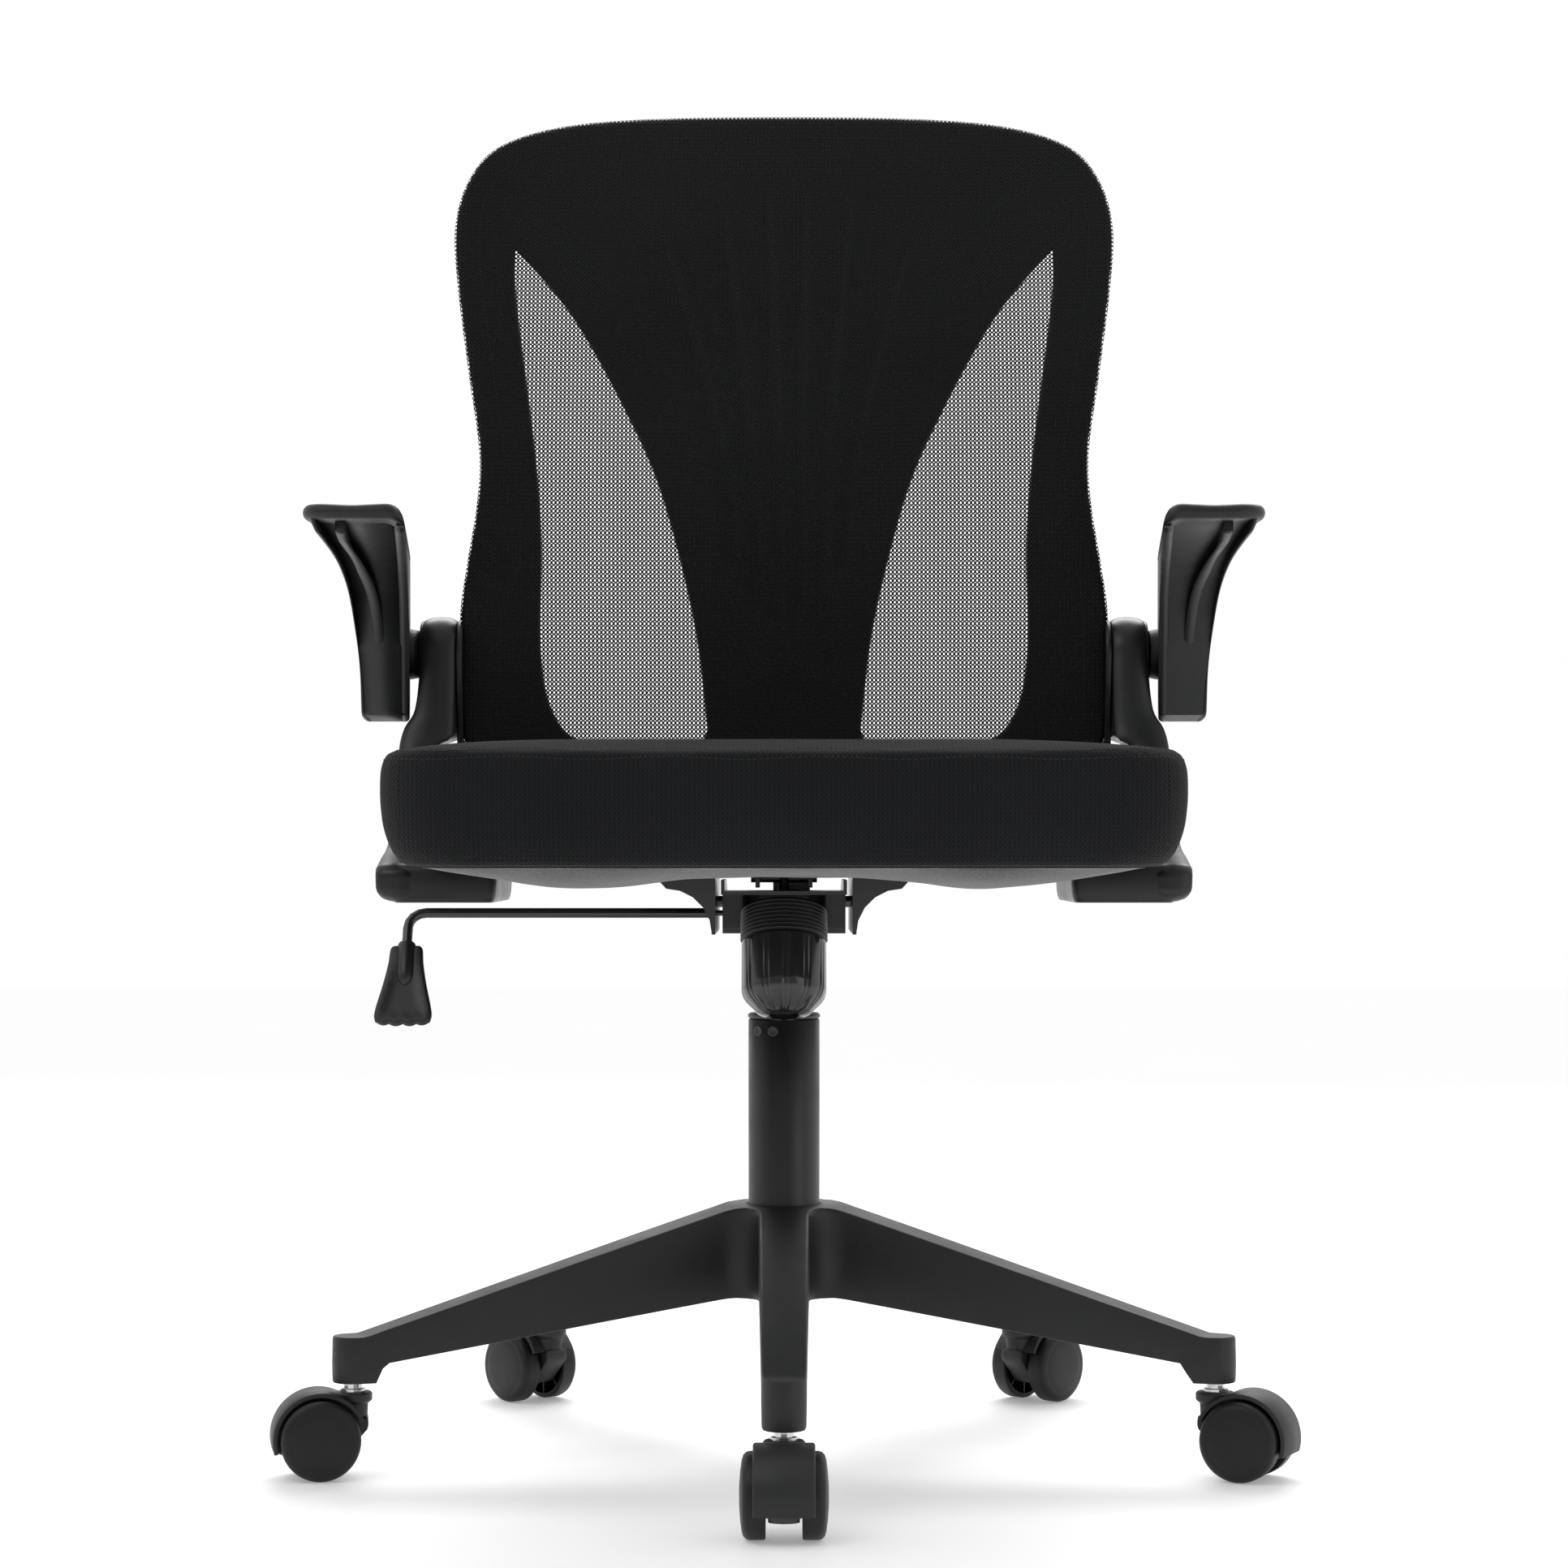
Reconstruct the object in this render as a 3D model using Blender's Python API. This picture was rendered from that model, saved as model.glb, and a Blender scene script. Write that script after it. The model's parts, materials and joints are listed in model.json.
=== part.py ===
"""Swivel office chair: five-star base, gas lift, butterfly tilt mechanism, padded seat,
folding mesh backrest and flip-up armrests.

Metres, +Z up.  The origin is on the floor under the gas lift's axis and the sitter
faces -Y, so +X is the sitter's left-hand side.  Every moving piece has its origin, or
its parent empty, on the axis of its joint.
"""

import math

import bmesh
import bpy
from mathutils import Matrix, Vector

GAP = 0.0003                    # between pieces that touch

# ---------------------------------------------------------------- base and casters
STEM_RADIUS = 0.307             # caster stem from the centre of the star
LEG_COUNT = 5
HUB_R = 0.046
HUB_BOTTOM_Z = 0.098
HUB_TOP_Z = 0.176
LEG_ROOT_HALF = 0.0172          # half width of a leg where it leaves the hub
LEG_END_HALF = 0.0138
LEG_END_TOP_Z = 0.0935
LEG_END_BOTTOM_Z = 0.0735
BOSS_R = 0.0168
BOSS_BOTTOM_Z = 0.0635
LEG_WALL = 0.0032
LEG_CHAMFER = 0.004
HOLLOW_REACH = (0.0745, 0.2840)  # the hollows under a leg start and end at these radii

WHEEL_R = 0.027
WHEEL_INNER_X = 0.0113
WHEEL_OUTER_X = 0.0276
CASTER_TRAIL = 0.0228
HOOD_R = 0.032
HOOD_WALL = 0.0028
HOOD_HALF = 0.0192
HOOD_WEB_HALF = 0.0098
SOCKET_R = 0.0132
SOCKET_TOP_Z = 0.0572
AXLE_R = 0.003
PIN_R = 0.0052
# yaw of each caster about its stem, degrees; 0 trails towards -Y
CASTER_YAW = {"front": 0.0, "left": 65.0, "rear_left": 137.7, "rear_right": 222.6, "right": -79.0}

# ---------------------------------------------------------------- gas lift
TUBE_R = 0.025
TUBE_WALL = 0.0022
TUBE_BOTTOM_Z = 0.080
TUBE_TOP_Z = 0.3055
BUSH_TOP_Z = 0.3098
ROD_R = 0.005
PISTON_Z = 0.238
CYLINDER_R = 0.014
CYLINDER_BOTTOM_Z = 0.160
CONE_START_Z = 0.366
CYLINDER_TOP_Z = 0.3935
CONE_TOP_R = 0.0128
BUTTON_R = 0.004
BUTTON_TOP_Z = 0.3985

# ---------------------------------------------------------------- tilt mechanism
SHEET = 0.0025                  # pressed steel
HOUSING_HALF = 0.0425
HOUSING_BOTTOM_Z = 0.366
HOUSING_FRONT_Y = -0.118
HOUSING_STEP_Y = -0.0495
HOUSING_REAR_Y = 0.062
HOUSING_WALL_TOP_Z = 0.4035
FRONT_FLOOR_Z = 0.3935
TILT_MAX = math.radians(12)
PLATE_Z = 0.4100                # underside of the seat plate
PIVOT_Y = -0.0259
PIVOT_Z = 0.3878
PIVOT_R = 0.004
EAR_X = 0.0465
EAR_BOTTOM_Z = 0.3665
GUSSET_R = 0.0310               # the gusset's lower edge curves from the ear to the wing
GUSSET_X = EAR_X + SHEET - 0.0002 + GUSSET_R
WING_X = 0.0935
WING_FRONT_Y = -0.105
WING_REAR_Y = 0.078
PLATE_BOLT_X = 0.082
PLATE_BOLT_Y = (-0.0925, 0.0655)

# The tension bolt leans back by this much and stays square to the line to the tilt
# pivot, so that it can slide straight while the seat plate turns.
BOLT_LEAN = math.radians(19.5)
HOOK_ARM = 0.050
HOOK_BAR_R = 0.003
HOOK_BAR_HALF = 0.0226
BOLT_R = 0.004
BOOT_TOP, BOOT_END = -0.0236, -0.0458       # along the bolt, from the hook bar
KNOB_TOP, KNOB_END = -0.0462, -0.0985
BOLT_END = -0.0894
BOOT_R = 0.0285
BOOT_RIBS = 6
KNOB_R = 0.0275
KNOB_WALL = 0.0035
SPRING_R = 0.0150
SPRING_WIRE_R = 0.0021
SPRING_TURNS = 4.5

LEVER_Y = -0.040
LEVER_Z = 0.380
LEVER_R = 0.0035
SPINDLE_R = 0.002
LEVER_BEND_X = -0.2600
LEVER_LEAN = math.radians(30)   # the paddle hangs forward of vertical by this much
PADDLE_TOP = 0.027              # down the leaning stem from the lever's axis
PADDLE_END = 0.088
PADDLE_HALF = 0.020

# ---------------------------------------------------------------- seat
PAN_HALF_X = 0.238
PAN_Y = (-0.233, 0.193)
PAN_Z = (0.4128, 0.4238)
SEAT_HALF_X = 0.2595
SEAT_Y = (-0.2560, 0.2120)
SEAT_BOTTOM_Z = 0.4150
SEAT_FRONT_TOP_Z = 0.4960
SEAT_REAR_TOP_Z = 0.4850
COVER_Z = 0.4052

# ---------------------------------------------------------------- side brackets, arms
FOLD_Y = 0.242                  # axis of the folding back and of the flip-up arms
FOLD_Z = 0.574
BRACKET_R = 0.029
BRACKET_FOOT_X = 0.205
BRACKET_BOTTOM_Z = 0.3860
FOLD_PIN_R = 0.006
ARM_STUB_R = 0.0190
ARM_BOLT_R = 0.005
ARM_PAD_TOP_Z = 0.6640
ARM_PAD_THICK = 0.0115
ARM_FRONT_Y = -0.052
ARM_SPLAY = 0.10                # metres outwards per metre towards the back
ARM_INNER_X = 0.2697            # inner edge of the pad at its front end
ARM_PAD_WIDTH = 0.0655
ARM_LEG_WIDTH = 0.0275
ARM_TAPER = 0.78                # share of the flare that is gone at the fold axis

# ---------------------------------------------------------------- backrest
BACK_THICK = 0.0080
MESH_THICK = 0.0012
MESH_CLEAR = 0.0005

SLATE = (0.024, 0.025, 0.027)
BLACK = (0.016, 0.016, 0.017)
STEEL = (0.45, 0.45, 0.46)


# ================================================================ helpers
def clear_scene():
    for obj in list(bpy.data.objects):
        bpy.data.objects.remove(obj, do_unlink=True)


def material(name, color, roughness, metallic=0.0):
    mat = bpy.data.materials.new(name)
    mat.use_nodes = True
    shader = mat.node_tree.nodes["Principled BSDF"]
    shader.inputs["Base Color"].default_value = (*color, 1.0)
    shader.inputs["Roughness"].default_value = roughness
    shader.inputs["Metallic"].default_value = metallic
    return mat


def solid(name, bm):
    """Finish a bmesh as an object whose faces all point outwards."""
    bmesh.ops.recalc_face_normals(bm, faces=bm.faces)
    mesh = bpy.data.meshes.new(name)
    bm.to_mesh(mesh)
    bm.free()
    mesh.shade_smooth()
    mesh.set_sharp_from_angle(angle=math.radians(35))
    obj = bpy.data.objects.new(name, mesh)
    bpy.context.collection.objects.link(obj)
    return obj


def skin(name, rings):
    """Closed solid through rings of equal length, with a cap at each end."""
    bm = bmesh.new()
    rows = [[bm.verts.new(point) for point in ring] for ring in rings]
    count = len(rows[0])
    for lower, upper in zip(rows, rows[1:]):
        for i in range(count):
            j = (i + 1) % count
            bm.faces.new((lower[i], lower[j], upper[j], upper[i]))
    bm.faces.new(rows[0])
    bm.faces.new(rows[-1])
    return solid(name, bm)


def lathe(name, profile, segments=24, closed=True, phase=0.0):
    """Turn (radius, z) points about Z; an open profile starts and ends on the axis."""
    bm = bmesh.new()
    rows = []
    for radius, z in profile:
        if radius < 1e-6:
            rows.append([bm.verts.new((0, 0, z))] * segments)
            continue
        angles = [2 * math.pi * (i + phase) / segments for i in range(segments)]
        rows.append([bm.verts.new((radius * math.cos(a), radius * math.sin(a), z)) for a in angles])
    pairs = list(zip(rows, rows[1:]))
    if closed:
        pairs.append((rows[-1], rows[0]))
    for one, two in pairs:
        for i in range(segments):
            j = (i + 1) % segments
            corners = list(dict.fromkeys((one[i], one[j], two[j], two[i])))
            if len(corners) > 2:
                bm.faces.new(corners)
    return solid(name, bm)


def prism(name, outline, low, high, axis="Z"):
    """Extrude an outline along an axis; the outline's two coordinates are the others'."""
    place = {
        "X": lambda u, v, w: (w, u, v),
        "Y": lambda u, v, w: (u, w, v),
        "Z": lambda u, v, w: (u, v, w),
    }[axis]
    return skin(name, [[place(u, v, w) for u, v in outline] for w in (low, high)])


def block(name, low, high):
    corners = [(low[0], low[1]), (high[0], low[1]), (high[0], high[1]), (low[0], high[1])]
    return prism(name, corners, low[2], high[2])


def rod(name, start, end, radius, segments=16):
    """Round bar from start to end."""
    start, end = Vector(start), Vector(end)
    length = (end - start).length
    obj = lathe(name, [(0, 0), (radius, 0), (radius, length), (0, length)], segments, closed=False)
    turn = Vector((0, 0, 1)).rotation_difference(end - start).to_matrix().to_4x4()
    obj.data.transform(Matrix.Translation(start) @ turn)
    return obj


def turned(name, profile, y, z, segments=16, closed=False):
    """Turn (radius, x) points about the line along X through y and z."""
    obj = lathe(name, profile, segments, closed)
    obj.data.transform(Matrix.Translation((0, y, z)) @ Matrix.Rotation(math.pi / 2, 4, "Y"))
    return obj


def combine(target, tools, operation):
    """Apply exact Booleans with each tool in turn, then remove the tools."""
    for tool in tools:
        modifier = target.modifiers.new("cut", "BOOLEAN")
        modifier.operation = operation
        modifier.object = tool
    graph = bpy.context.evaluated_depsgraph_get()
    mesh = bpy.data.meshes.new_from_object(target.evaluated_get(graph))
    target.modifiers.clear()
    target.data = mesh
    mesh.set_sharp_from_angle(angle=math.radians(35))
    for tool in tools:
        bpy.data.objects.remove(tool, do_unlink=True)
    return target


def cut(target, *tools):
    return combine(target, tools, "DIFFERENCE")


def join(target, *tools):
    return combine(target, tools, "UNION")


def arc(center, radius, start, end, steps):
    """Points on an arc, angles in degrees."""
    points = []
    for i in range(steps + 1):
        a = math.radians(start + (end - start) * i / steps)
        points.append((center[0] + radius * math.cos(a), center[1] + radius * math.sin(a)))
    return points


def rounded(low, high, radius, steps=4):
    """Rectangle with round corners, from its low and high corners."""
    x0, y0, x1, y1 = *low, *high
    r = radius
    return (
        arc((x1 - r, y0 + r), r, -90, 0, steps)
        + arc((x1 - r, y1 - r), r, 0, 90, steps)
        + arc((x0 + r, y1 - r), r, 90, 180, steps)
        + arc((x0 + r, y0 + r), r, 180, 270, steps)
    )


def smooth_curve(points, steps):
    """Catmull-Rom curve through open points."""
    ends = [points[0]] + list(points) + [points[-1]]
    result = []
    for i in range(len(points) - 1):
        p0, p1, p2, p3 = (Vector(p) for p in ends[i:i + 4])
        for k in range(steps):
            t = k / steps
            bend = (2 * p0 - 5 * p1 + 4 * p2 - p3) * t * t + (3 * p1 - p0 - 3 * p2 + p3) * t ** 3
            result.append(tuple(0.5 * (2 * p1 + (p2 - p0) * t + bend)))
    result.append(tuple(points[-1]))
    return result


def finish(obj, mat, origin=(0, 0, 0)):
    """Give the object its material and put its origin on its joint's axis."""
    obj.data.materials.clear()
    obj.data.materials.append(mat)
    obj.data.transform(Matrix.Translation(-Vector(origin)))
    obj.location = origin
    return obj


def empty(name, location, yaw=0.0):
    obj = bpy.data.objects.new(name, None)
    obj.location = location
    obj.rotation_euler = (0, 0, yaw)
    bpy.context.collection.objects.link(obj)
    return obj


def mirrored(obj, name):
    """Copy of a piece mirrored across the chair's middle plane, faces still outwards."""
    mesh = obj.data.copy()
    mesh.transform(Matrix.Diagonal((-1, 1, 1, 1)))
    mesh.flip_normals()
    copy = bpy.data.objects.new(name, mesh)
    copy.location = (-obj.location.x, obj.location.y, obj.location.z)
    bpy.context.collection.objects.link(copy)
    return copy


# ================================================================ base
def star_base(mat):
    """Five hollow legs on a hub, with a bore for the gas lift and one for each caster."""
    hub = lathe("star_base", [
        (0, HUB_BOTTOM_Z), (HUB_R - 0.004, HUB_BOTTOM_Z), (HUB_R, HUB_BOTTOM_Z + 0.006),
        (HUB_R - 0.002, HUB_TOP_Z - 0.004), (HUB_R - 0.006, HUB_TOP_Z), (0, HUB_TOP_Z),
    ], 25, closed=False)
    legs, hollows = [], []
    for index in range(LEG_COUNT):
        turn = Matrix.Rotation(2 * math.pi * index / LEG_COUNT, 4, "Z")
        leg, boss, hollow, bore = leg_parts()
        for piece in (leg, boss, *hollow, bore):
            piece.data.transform(turn)
        legs += [leg, boss]
        hollows += [*hollow, bore]
    join(hub, *legs)
    tube_bore = rod("bore", (0, 0, 0.05), (0, 0, 0.2), TUBE_R + 2 * GAP, 24)
    cut(hub, *hollows, tube_bore)
    return finish(hub, mat)


def leg_section(radius, half, bottom, top, chamfer):
    return [
        (-half, -radius, bottom), (half, -radius, bottom), (half, -radius, top - chamfer),
        (half - chamfer, -radius, top), (-half + chamfer, -radius, top),
        (-half, -radius, top - chamfer),
    ]


def leg_parts():
    """One leg towards -Y: its body, end boss, two hollows under it and the stem bore."""
    stations = (0.030, HUB_R, 0.056, 0.070, 0.180, STEM_RADIUS)
    flare = (0.003, 0.0090, 0.0040, 0.001, 0.0, 0.0)
    sections = []
    for radius, extra in zip(stations, flare):
        t = max(0.0, (radius - HUB_R) / (STEM_RADIUS - HUB_R))
        half = LEG_ROOT_HALF + (LEG_END_HALF - LEG_ROOT_HALF) * t + extra
        top = HUB_TOP_Z - 0.002 + (LEG_END_TOP_Z - HUB_TOP_Z + 0.002) * t
        bottom = 0.112 + (LEG_END_BOTTOM_Z - 0.112) * t
        sections.append(leg_section(radius, half, bottom, top, LEG_CHAMFER))
    leg = skin("leg", sections)
    boss = lathe("boss", [
        (0, BOSS_BOTTOM_Z), (BOSS_R - 0.001, BOSS_BOTTOM_Z), (BOSS_R, BOSS_BOTTOM_Z + 0.002),
        (BOSS_R, LEG_END_TOP_Z - 0.003), (BOSS_R - 0.003, LEG_END_TOP_Z), (0, LEG_END_TOP_Z),
    ], 14, closed=False)
    boss.data.transform(Matrix.Translation((0, -STEM_RADIUS, 0)))
    hollows = []
    for side in (-1, 1):
        rings = []
        for radius in HOLLOW_REACH:
            t = (radius - HUB_R) / (STEM_RADIUS - HUB_R)
            half = LEG_ROOT_HALF + (LEG_END_HALF - LEG_ROOT_HALF) * t - LEG_WALL
            top = HUB_TOP_Z - 0.002 + (LEG_END_TOP_Z - HUB_TOP_Z + 0.002) * t - LEG_WALL
            near, far = sorted((side * 0.0013, side * half))
            rings.append([(near, -radius, 0.055), (far, -radius, 0.055),
                          (far, -radius, top), (near, -radius, top)])
        hollows.append(skin("hollow", rings))
    stem = Vector((0, -STEM_RADIUS, 0))
    bore = rod("stem_bore", stem + Vector((0, 0, 0.05)), stem + Vector((0, 0, 0.0885)), PIN_R + GAP, 12)
    return leg, boss, hollows, bore


def caster(place, yaw, mats):
    """Twin-wheel caster on a swivel stem: housing with its axle, pin and two wheels."""
    out = math.radians(yaw)
    home = Vector(stem_places()[place])
    stem = empty(f"caster_{place}", home, out)
    pieces = [
        (caster_housing(f"caster_{place}_housing"), mats["nylon"]),
        (caster_pin(f"caster_{place}_pin"), mats["chrome"]),
    ]
    for side, label in ((-1, "a"), (1, "b")):
        wheel = caster_wheel(f"caster_{place}_wheel_{label}", side)
        wheel.parent = stem
        wheel.location = (0, -CASTER_TRAIL, WHEEL_R)
        wheel.data.materials.append(mats["wheel"])
    for piece, mat in pieces:
        piece.parent = stem
        piece.data.materials.append(mat)


def stem_places():
    """Caster names and stem positions, going round the star."""
    names = ("front", "left", "rear_left", "rear_right", "right")
    places = {}
    for index, name in enumerate(names):
        angle = 2 * math.pi * index / LEG_COUNT
        places[name] = (STEM_RADIUS * math.sin(angle), -STEM_RADIUS * math.cos(angle), 0)
    return places


def caster_housing(name):
    """Hood over both wheels, a web between them, a stem socket and the wheels' axle."""
    axle = (-CASTER_TRAIL, WHEEL_R)
    outer = arc(axle, HOOD_R, 196, 24, 8)
    inner = arc(axle, HOOD_R - HOOD_WALL, 24, 196, 8)
    hood = prism(name, outer + inner, -HOOD_HALF, HOOD_HALF, "X")
    web_outline = arc(axle, HOOD_R - 0.0012, 190, 24, 5) + [
        (0.0105, 0.0420), (0.0105, 0.0330), (-0.006, 0.0150), (-0.022, 0.0115),
        (-0.036, 0.0115), (-0.0525, 0.0180)]
    web = prism("web", web_outline, -HOOD_WEB_HALF, HOOD_WEB_HALF, "X")
    socket = lathe("socket", [
        (0, 0.0335), (HOOD_WEB_HALF, 0.0335), (HOOD_WEB_HALF, 0.0495), (SOCKET_R, 0.0515),
        (SOCKET_R, SOCKET_TOP_Z), (0, SOCKET_TOP_Z)], 12, closed=False)
    shaft = rod("shaft", (-0.0262, -CASTER_TRAIL, WHEEL_R), (0.0262, -CASTER_TRAIL, WHEEL_R), AXLE_R, 10)
    join(hood, web, socket, shaft)
    return cut(hood, rod("bore", (0, 0, 0.0365), (0, 0, 0.07), PIN_R - 0.0010 + GAP, 10))


def caster_pin(name):
    """Steel stem: a thin end in the housing, a collar and a thick end in the star."""
    low, thin = 0.0370, PIN_R - 0.0010
    return lathe(name, [
        (0, low), (thin, low), (thin, SOCKET_TOP_Z + GAP), (0.0085, SOCKET_TOP_Z + GAP),
        (0.0085, SOCKET_TOP_Z + 0.0022), (0.0062, SOCKET_TOP_Z + 0.0026),
        (0.0062, BOSS_BOTTOM_Z - GAP), (PIN_R, BOSS_BOTTOM_Z - GAP), (PIN_R, 0.0868),
        (0, 0.0868),
    ], 10, closed=False)


def caster_wheel(name, side):
    """Wheel with a domed outer face, a rounded tread and a blind bore for the axle."""
    segments = 18
    tread = WHEEL_R / math.cos(math.pi / segments)
    bore = AXLE_R + GAP
    wheel = lathe(name, [
        (bore, WHEEL_INNER_X), (tread, WHEEL_INNER_X), (tread, 0.0232),
        (tread - 0.0050, 0.0262), (0, WHEEL_OUTER_X),
        (0, 0.0266), (bore, 0.0266),
    ], segments, closed=True, phase=0.5)
    wheel.data.transform(Matrix.Rotation(side * math.pi / 2, 4, "Y"))
    return wheel


# ================================================================ gas lift
def gas_lift(mats):
    inner = TUBE_R - TUBE_WALL
    tube = lathe("column_tube", [
        (ROD_R + 0.001, TUBE_BOTTOM_Z), (TUBE_R, TUBE_BOTTOM_Z), (TUBE_R, TUBE_TOP_Z),
        (inner, TUBE_TOP_Z), (inner, TUBE_BOTTOM_Z + 0.003), (ROD_R + 0.001, TUBE_BOTTOM_Z + 0.003),
    ], 24)
    finish(tube, mats["satin"])
    liner = inner - GAP
    bush = lathe("column_bush", [
        (CYLINDER_R + GAP, 0.225), (liner, 0.225), (liner, TUBE_TOP_Z + GAP),
        (TUBE_R - 0.0006, TUBE_TOP_Z + GAP), (TUBE_R - 0.0010, BUSH_TOP_Z - 0.0015),
        (TUBE_R - 0.0028, BUSH_TOP_Z), (CYLINDER_R + GAP, BUSH_TOP_Z),
    ], 24)
    finish(bush, mats["plastic"])
    floor = TUBE_BOTTOM_Z + 0.003 + GAP
    bearing = lathe("thrust_bearing", [
        (ROD_R + 0.001, floor), (0.014, floor), (0.014, floor + 0.006), (ROD_R + 0.001, floor + 0.006),
    ], 20)
    finish(bearing, mats["steel"])
    collar = floor + 0.006 + GAP
    piston = lathe("piston_rod", [
        (0, 0.0755), (ROD_R, 0.0755), (ROD_R, collar), (0.0095, collar), (0.0095, collar + 0.003),
        (ROD_R, collar + 0.003), (ROD_R, PISTON_Z), (0.0110, PISTON_Z), (0.0110, PISTON_Z + 0.008),
        (0, PISTON_Z + 0.008),
    ], 20, closed=False)
    finish(piston, mats["steel"])
    clip = lathe("rod_clip", [
        (ROD_R + GAP, 0.0768), (0.0092, 0.0768), (0.0092, TUBE_BOTTOM_Z - GAP),
        (ROD_R + GAP, TUBE_BOTTOM_Z - GAP),
    ], 20)
    finish(clip, mats["steel"])
    bore = 0.0115
    cylinder = lathe("gas_cylinder", [
        (ROD_R + GAP, CYLINDER_BOTTOM_Z), (CYLINDER_R, CYLINDER_BOTTOM_Z),
        (CYLINDER_R, CONE_START_Z), (CONE_TOP_R, CYLINDER_TOP_Z), (BUTTON_R + GAP, CYLINDER_TOP_Z),
        (BUTTON_R + GAP, 0.3880), (bore, 0.3840), (bore, CYLINDER_BOTTOM_Z + 0.008),
        (ROD_R + GAP, CYLINDER_BOTTOM_Z + 0.008),
    ], 20)
    finish(cylinder, mats["satin"])
    button = rod("release_button", (0, 0, 0.3740), (0, 0, BUTTON_TOP_Z), BUTTON_R, 16)
    finish(button, mats["steel"], (0, 0, BUTTON_TOP_Z))


# ================================================================ tilt mechanism
def bolt_axis():
    """Unit vector up along the tension bolt."""
    return Vector((0, math.sin(BOLT_LEAN), math.cos(BOLT_LEAN)))


def hook():
    """Centre of the bolt's hook bar: square to the bolt from the tilt pivot."""
    return Vector((0, PIVOT_Y - HOOK_ARM * math.cos(BOLT_LEAN), PIVOT_Z + HOOK_ARM * math.sin(BOLT_LEAN)))


def on_bolt(distance):
    return hook() + bolt_axis() * distance


def lean(obj):
    """Move a piece modelled along Z, with the hook bar at z = 0, onto the bolt's axis."""
    obj.data.transform(Matrix.Translation(hook()) @ Matrix.Rotation(-BOLT_LEAN, 4, "X"))
    return obj


def housing(mats):
    """Pressed channel with a raised front floor, a spring cup under it and a cone socket."""
    half, bottom, top = HOUSING_HALF, HOUSING_BOTTOM_Z, HOUSING_WALL_TOP_Z
    rear_top = top - (HOUSING_REAR_Y - PIVOT_Y) * math.tan(TILT_MAX)
    side = [
        (HOUSING_FRONT_Y, FRONT_FLOOR_Z), (HOUSING_STEP_Y, FRONT_FLOOR_Z),
        (HOUSING_STEP_Y, bottom + 0.004), (HOUSING_STEP_Y + 0.004, bottom),
        (HOUSING_REAR_Y - 0.010, bottom), (HOUSING_REAR_Y, bottom + 0.008),
        (HOUSING_REAR_Y, rear_top), (PIVOT_Y, top), (HOUSING_FRONT_Y, top),
    ]
    body = prism("mechanism_housing", side, -half, half, "X")
    inside = [
        (HOUSING_FRONT_Y - 0.01, FRONT_FLOOR_Z + SHEET), (HOUSING_STEP_Y + SHEET, FRONT_FLOOR_Z + SHEET),
        (HOUSING_STEP_Y + SHEET, bottom + SHEET), (HOUSING_REAR_Y - 0.010, bottom + SHEET),
        (HOUSING_REAR_Y - SHEET, bottom + 0.010), (HOUSING_REAR_Y - SHEET, top + 0.02),
        (HOUSING_FRONT_Y - 0.01, top + 0.02),
    ]
    cut(body, prism("inside", inside, -half + SHEET, half - SHEET, "X"))
    cup = lean(lathe("cup", [
        (BOLT_R + 0.002, BOOT_TOP + GAP), (BOOT_R, BOOT_TOP + GAP), (BOOT_R, 0.010),
        (BOOT_R - SHEET, 0.010), (BOOT_R - SHEET, BOOT_TOP + GAP + SHEET),
        (BOLT_R + 0.002, BOOT_TOP + GAP + SHEET),
    ], 20))
    trim = block("trim", (-0.05, -0.15, FRONT_FLOOR_Z + 0.001), (0.05, 0.0, 0.43))
    cut(cup, trim)
    socket = rod("socket", (0, 0, bottom + 0.0005), (0, 0, 0.3905), 0.0180, 20)
    join(body, cup, socket)
    throat = lean(rod("throat", (0, 0, BOOT_TOP + SHEET + 0.001), (0, 0, 0.02), BOOT_R - SHEET - 0.0002, 20))
    cone = lathe("cone", [
        (0, 0.36), (CYLINDER_R + GAP, 0.36), (CYLINDER_R + GAP, CONE_START_Z),
        (CONE_TOP_R + GAP, CYLINDER_TOP_Z), (0, CYLINDER_TOP_Z),
    ], 20, closed=False)
    pivot = rod("pivot", (-0.06, PIVOT_Y, PIVOT_Z), (0.06, PIVOT_Y, PIVOT_Z), PIVOT_R + GAP, 16)
    spindle = rod("spindle", (-0.06, LEVER_Y, LEVER_Z), (-0.03, LEVER_Y, LEVER_Z), SPINDLE_R + GAP, 12)
    cut(body, throat, cone, pivot, spindle)
    finish(body, mats["metal"])
    reach = EAR_X + SHEET + GAP
    pin = turned("tilt_pivot_pin", [
        (0, -reach - 0.004), (0.0062, -reach - 0.004), (0.0062, -reach), (PIVOT_R, -reach),
        (PIVOT_R, reach), (0.0062, reach), (0.0062, reach + 0.004), (0, reach + 0.004),
    ], PIVOT_Y, PIVOT_Z)
    finish(pin, mats["steel"], (0, PIVOT_Y, PIVOT_Z))


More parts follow.
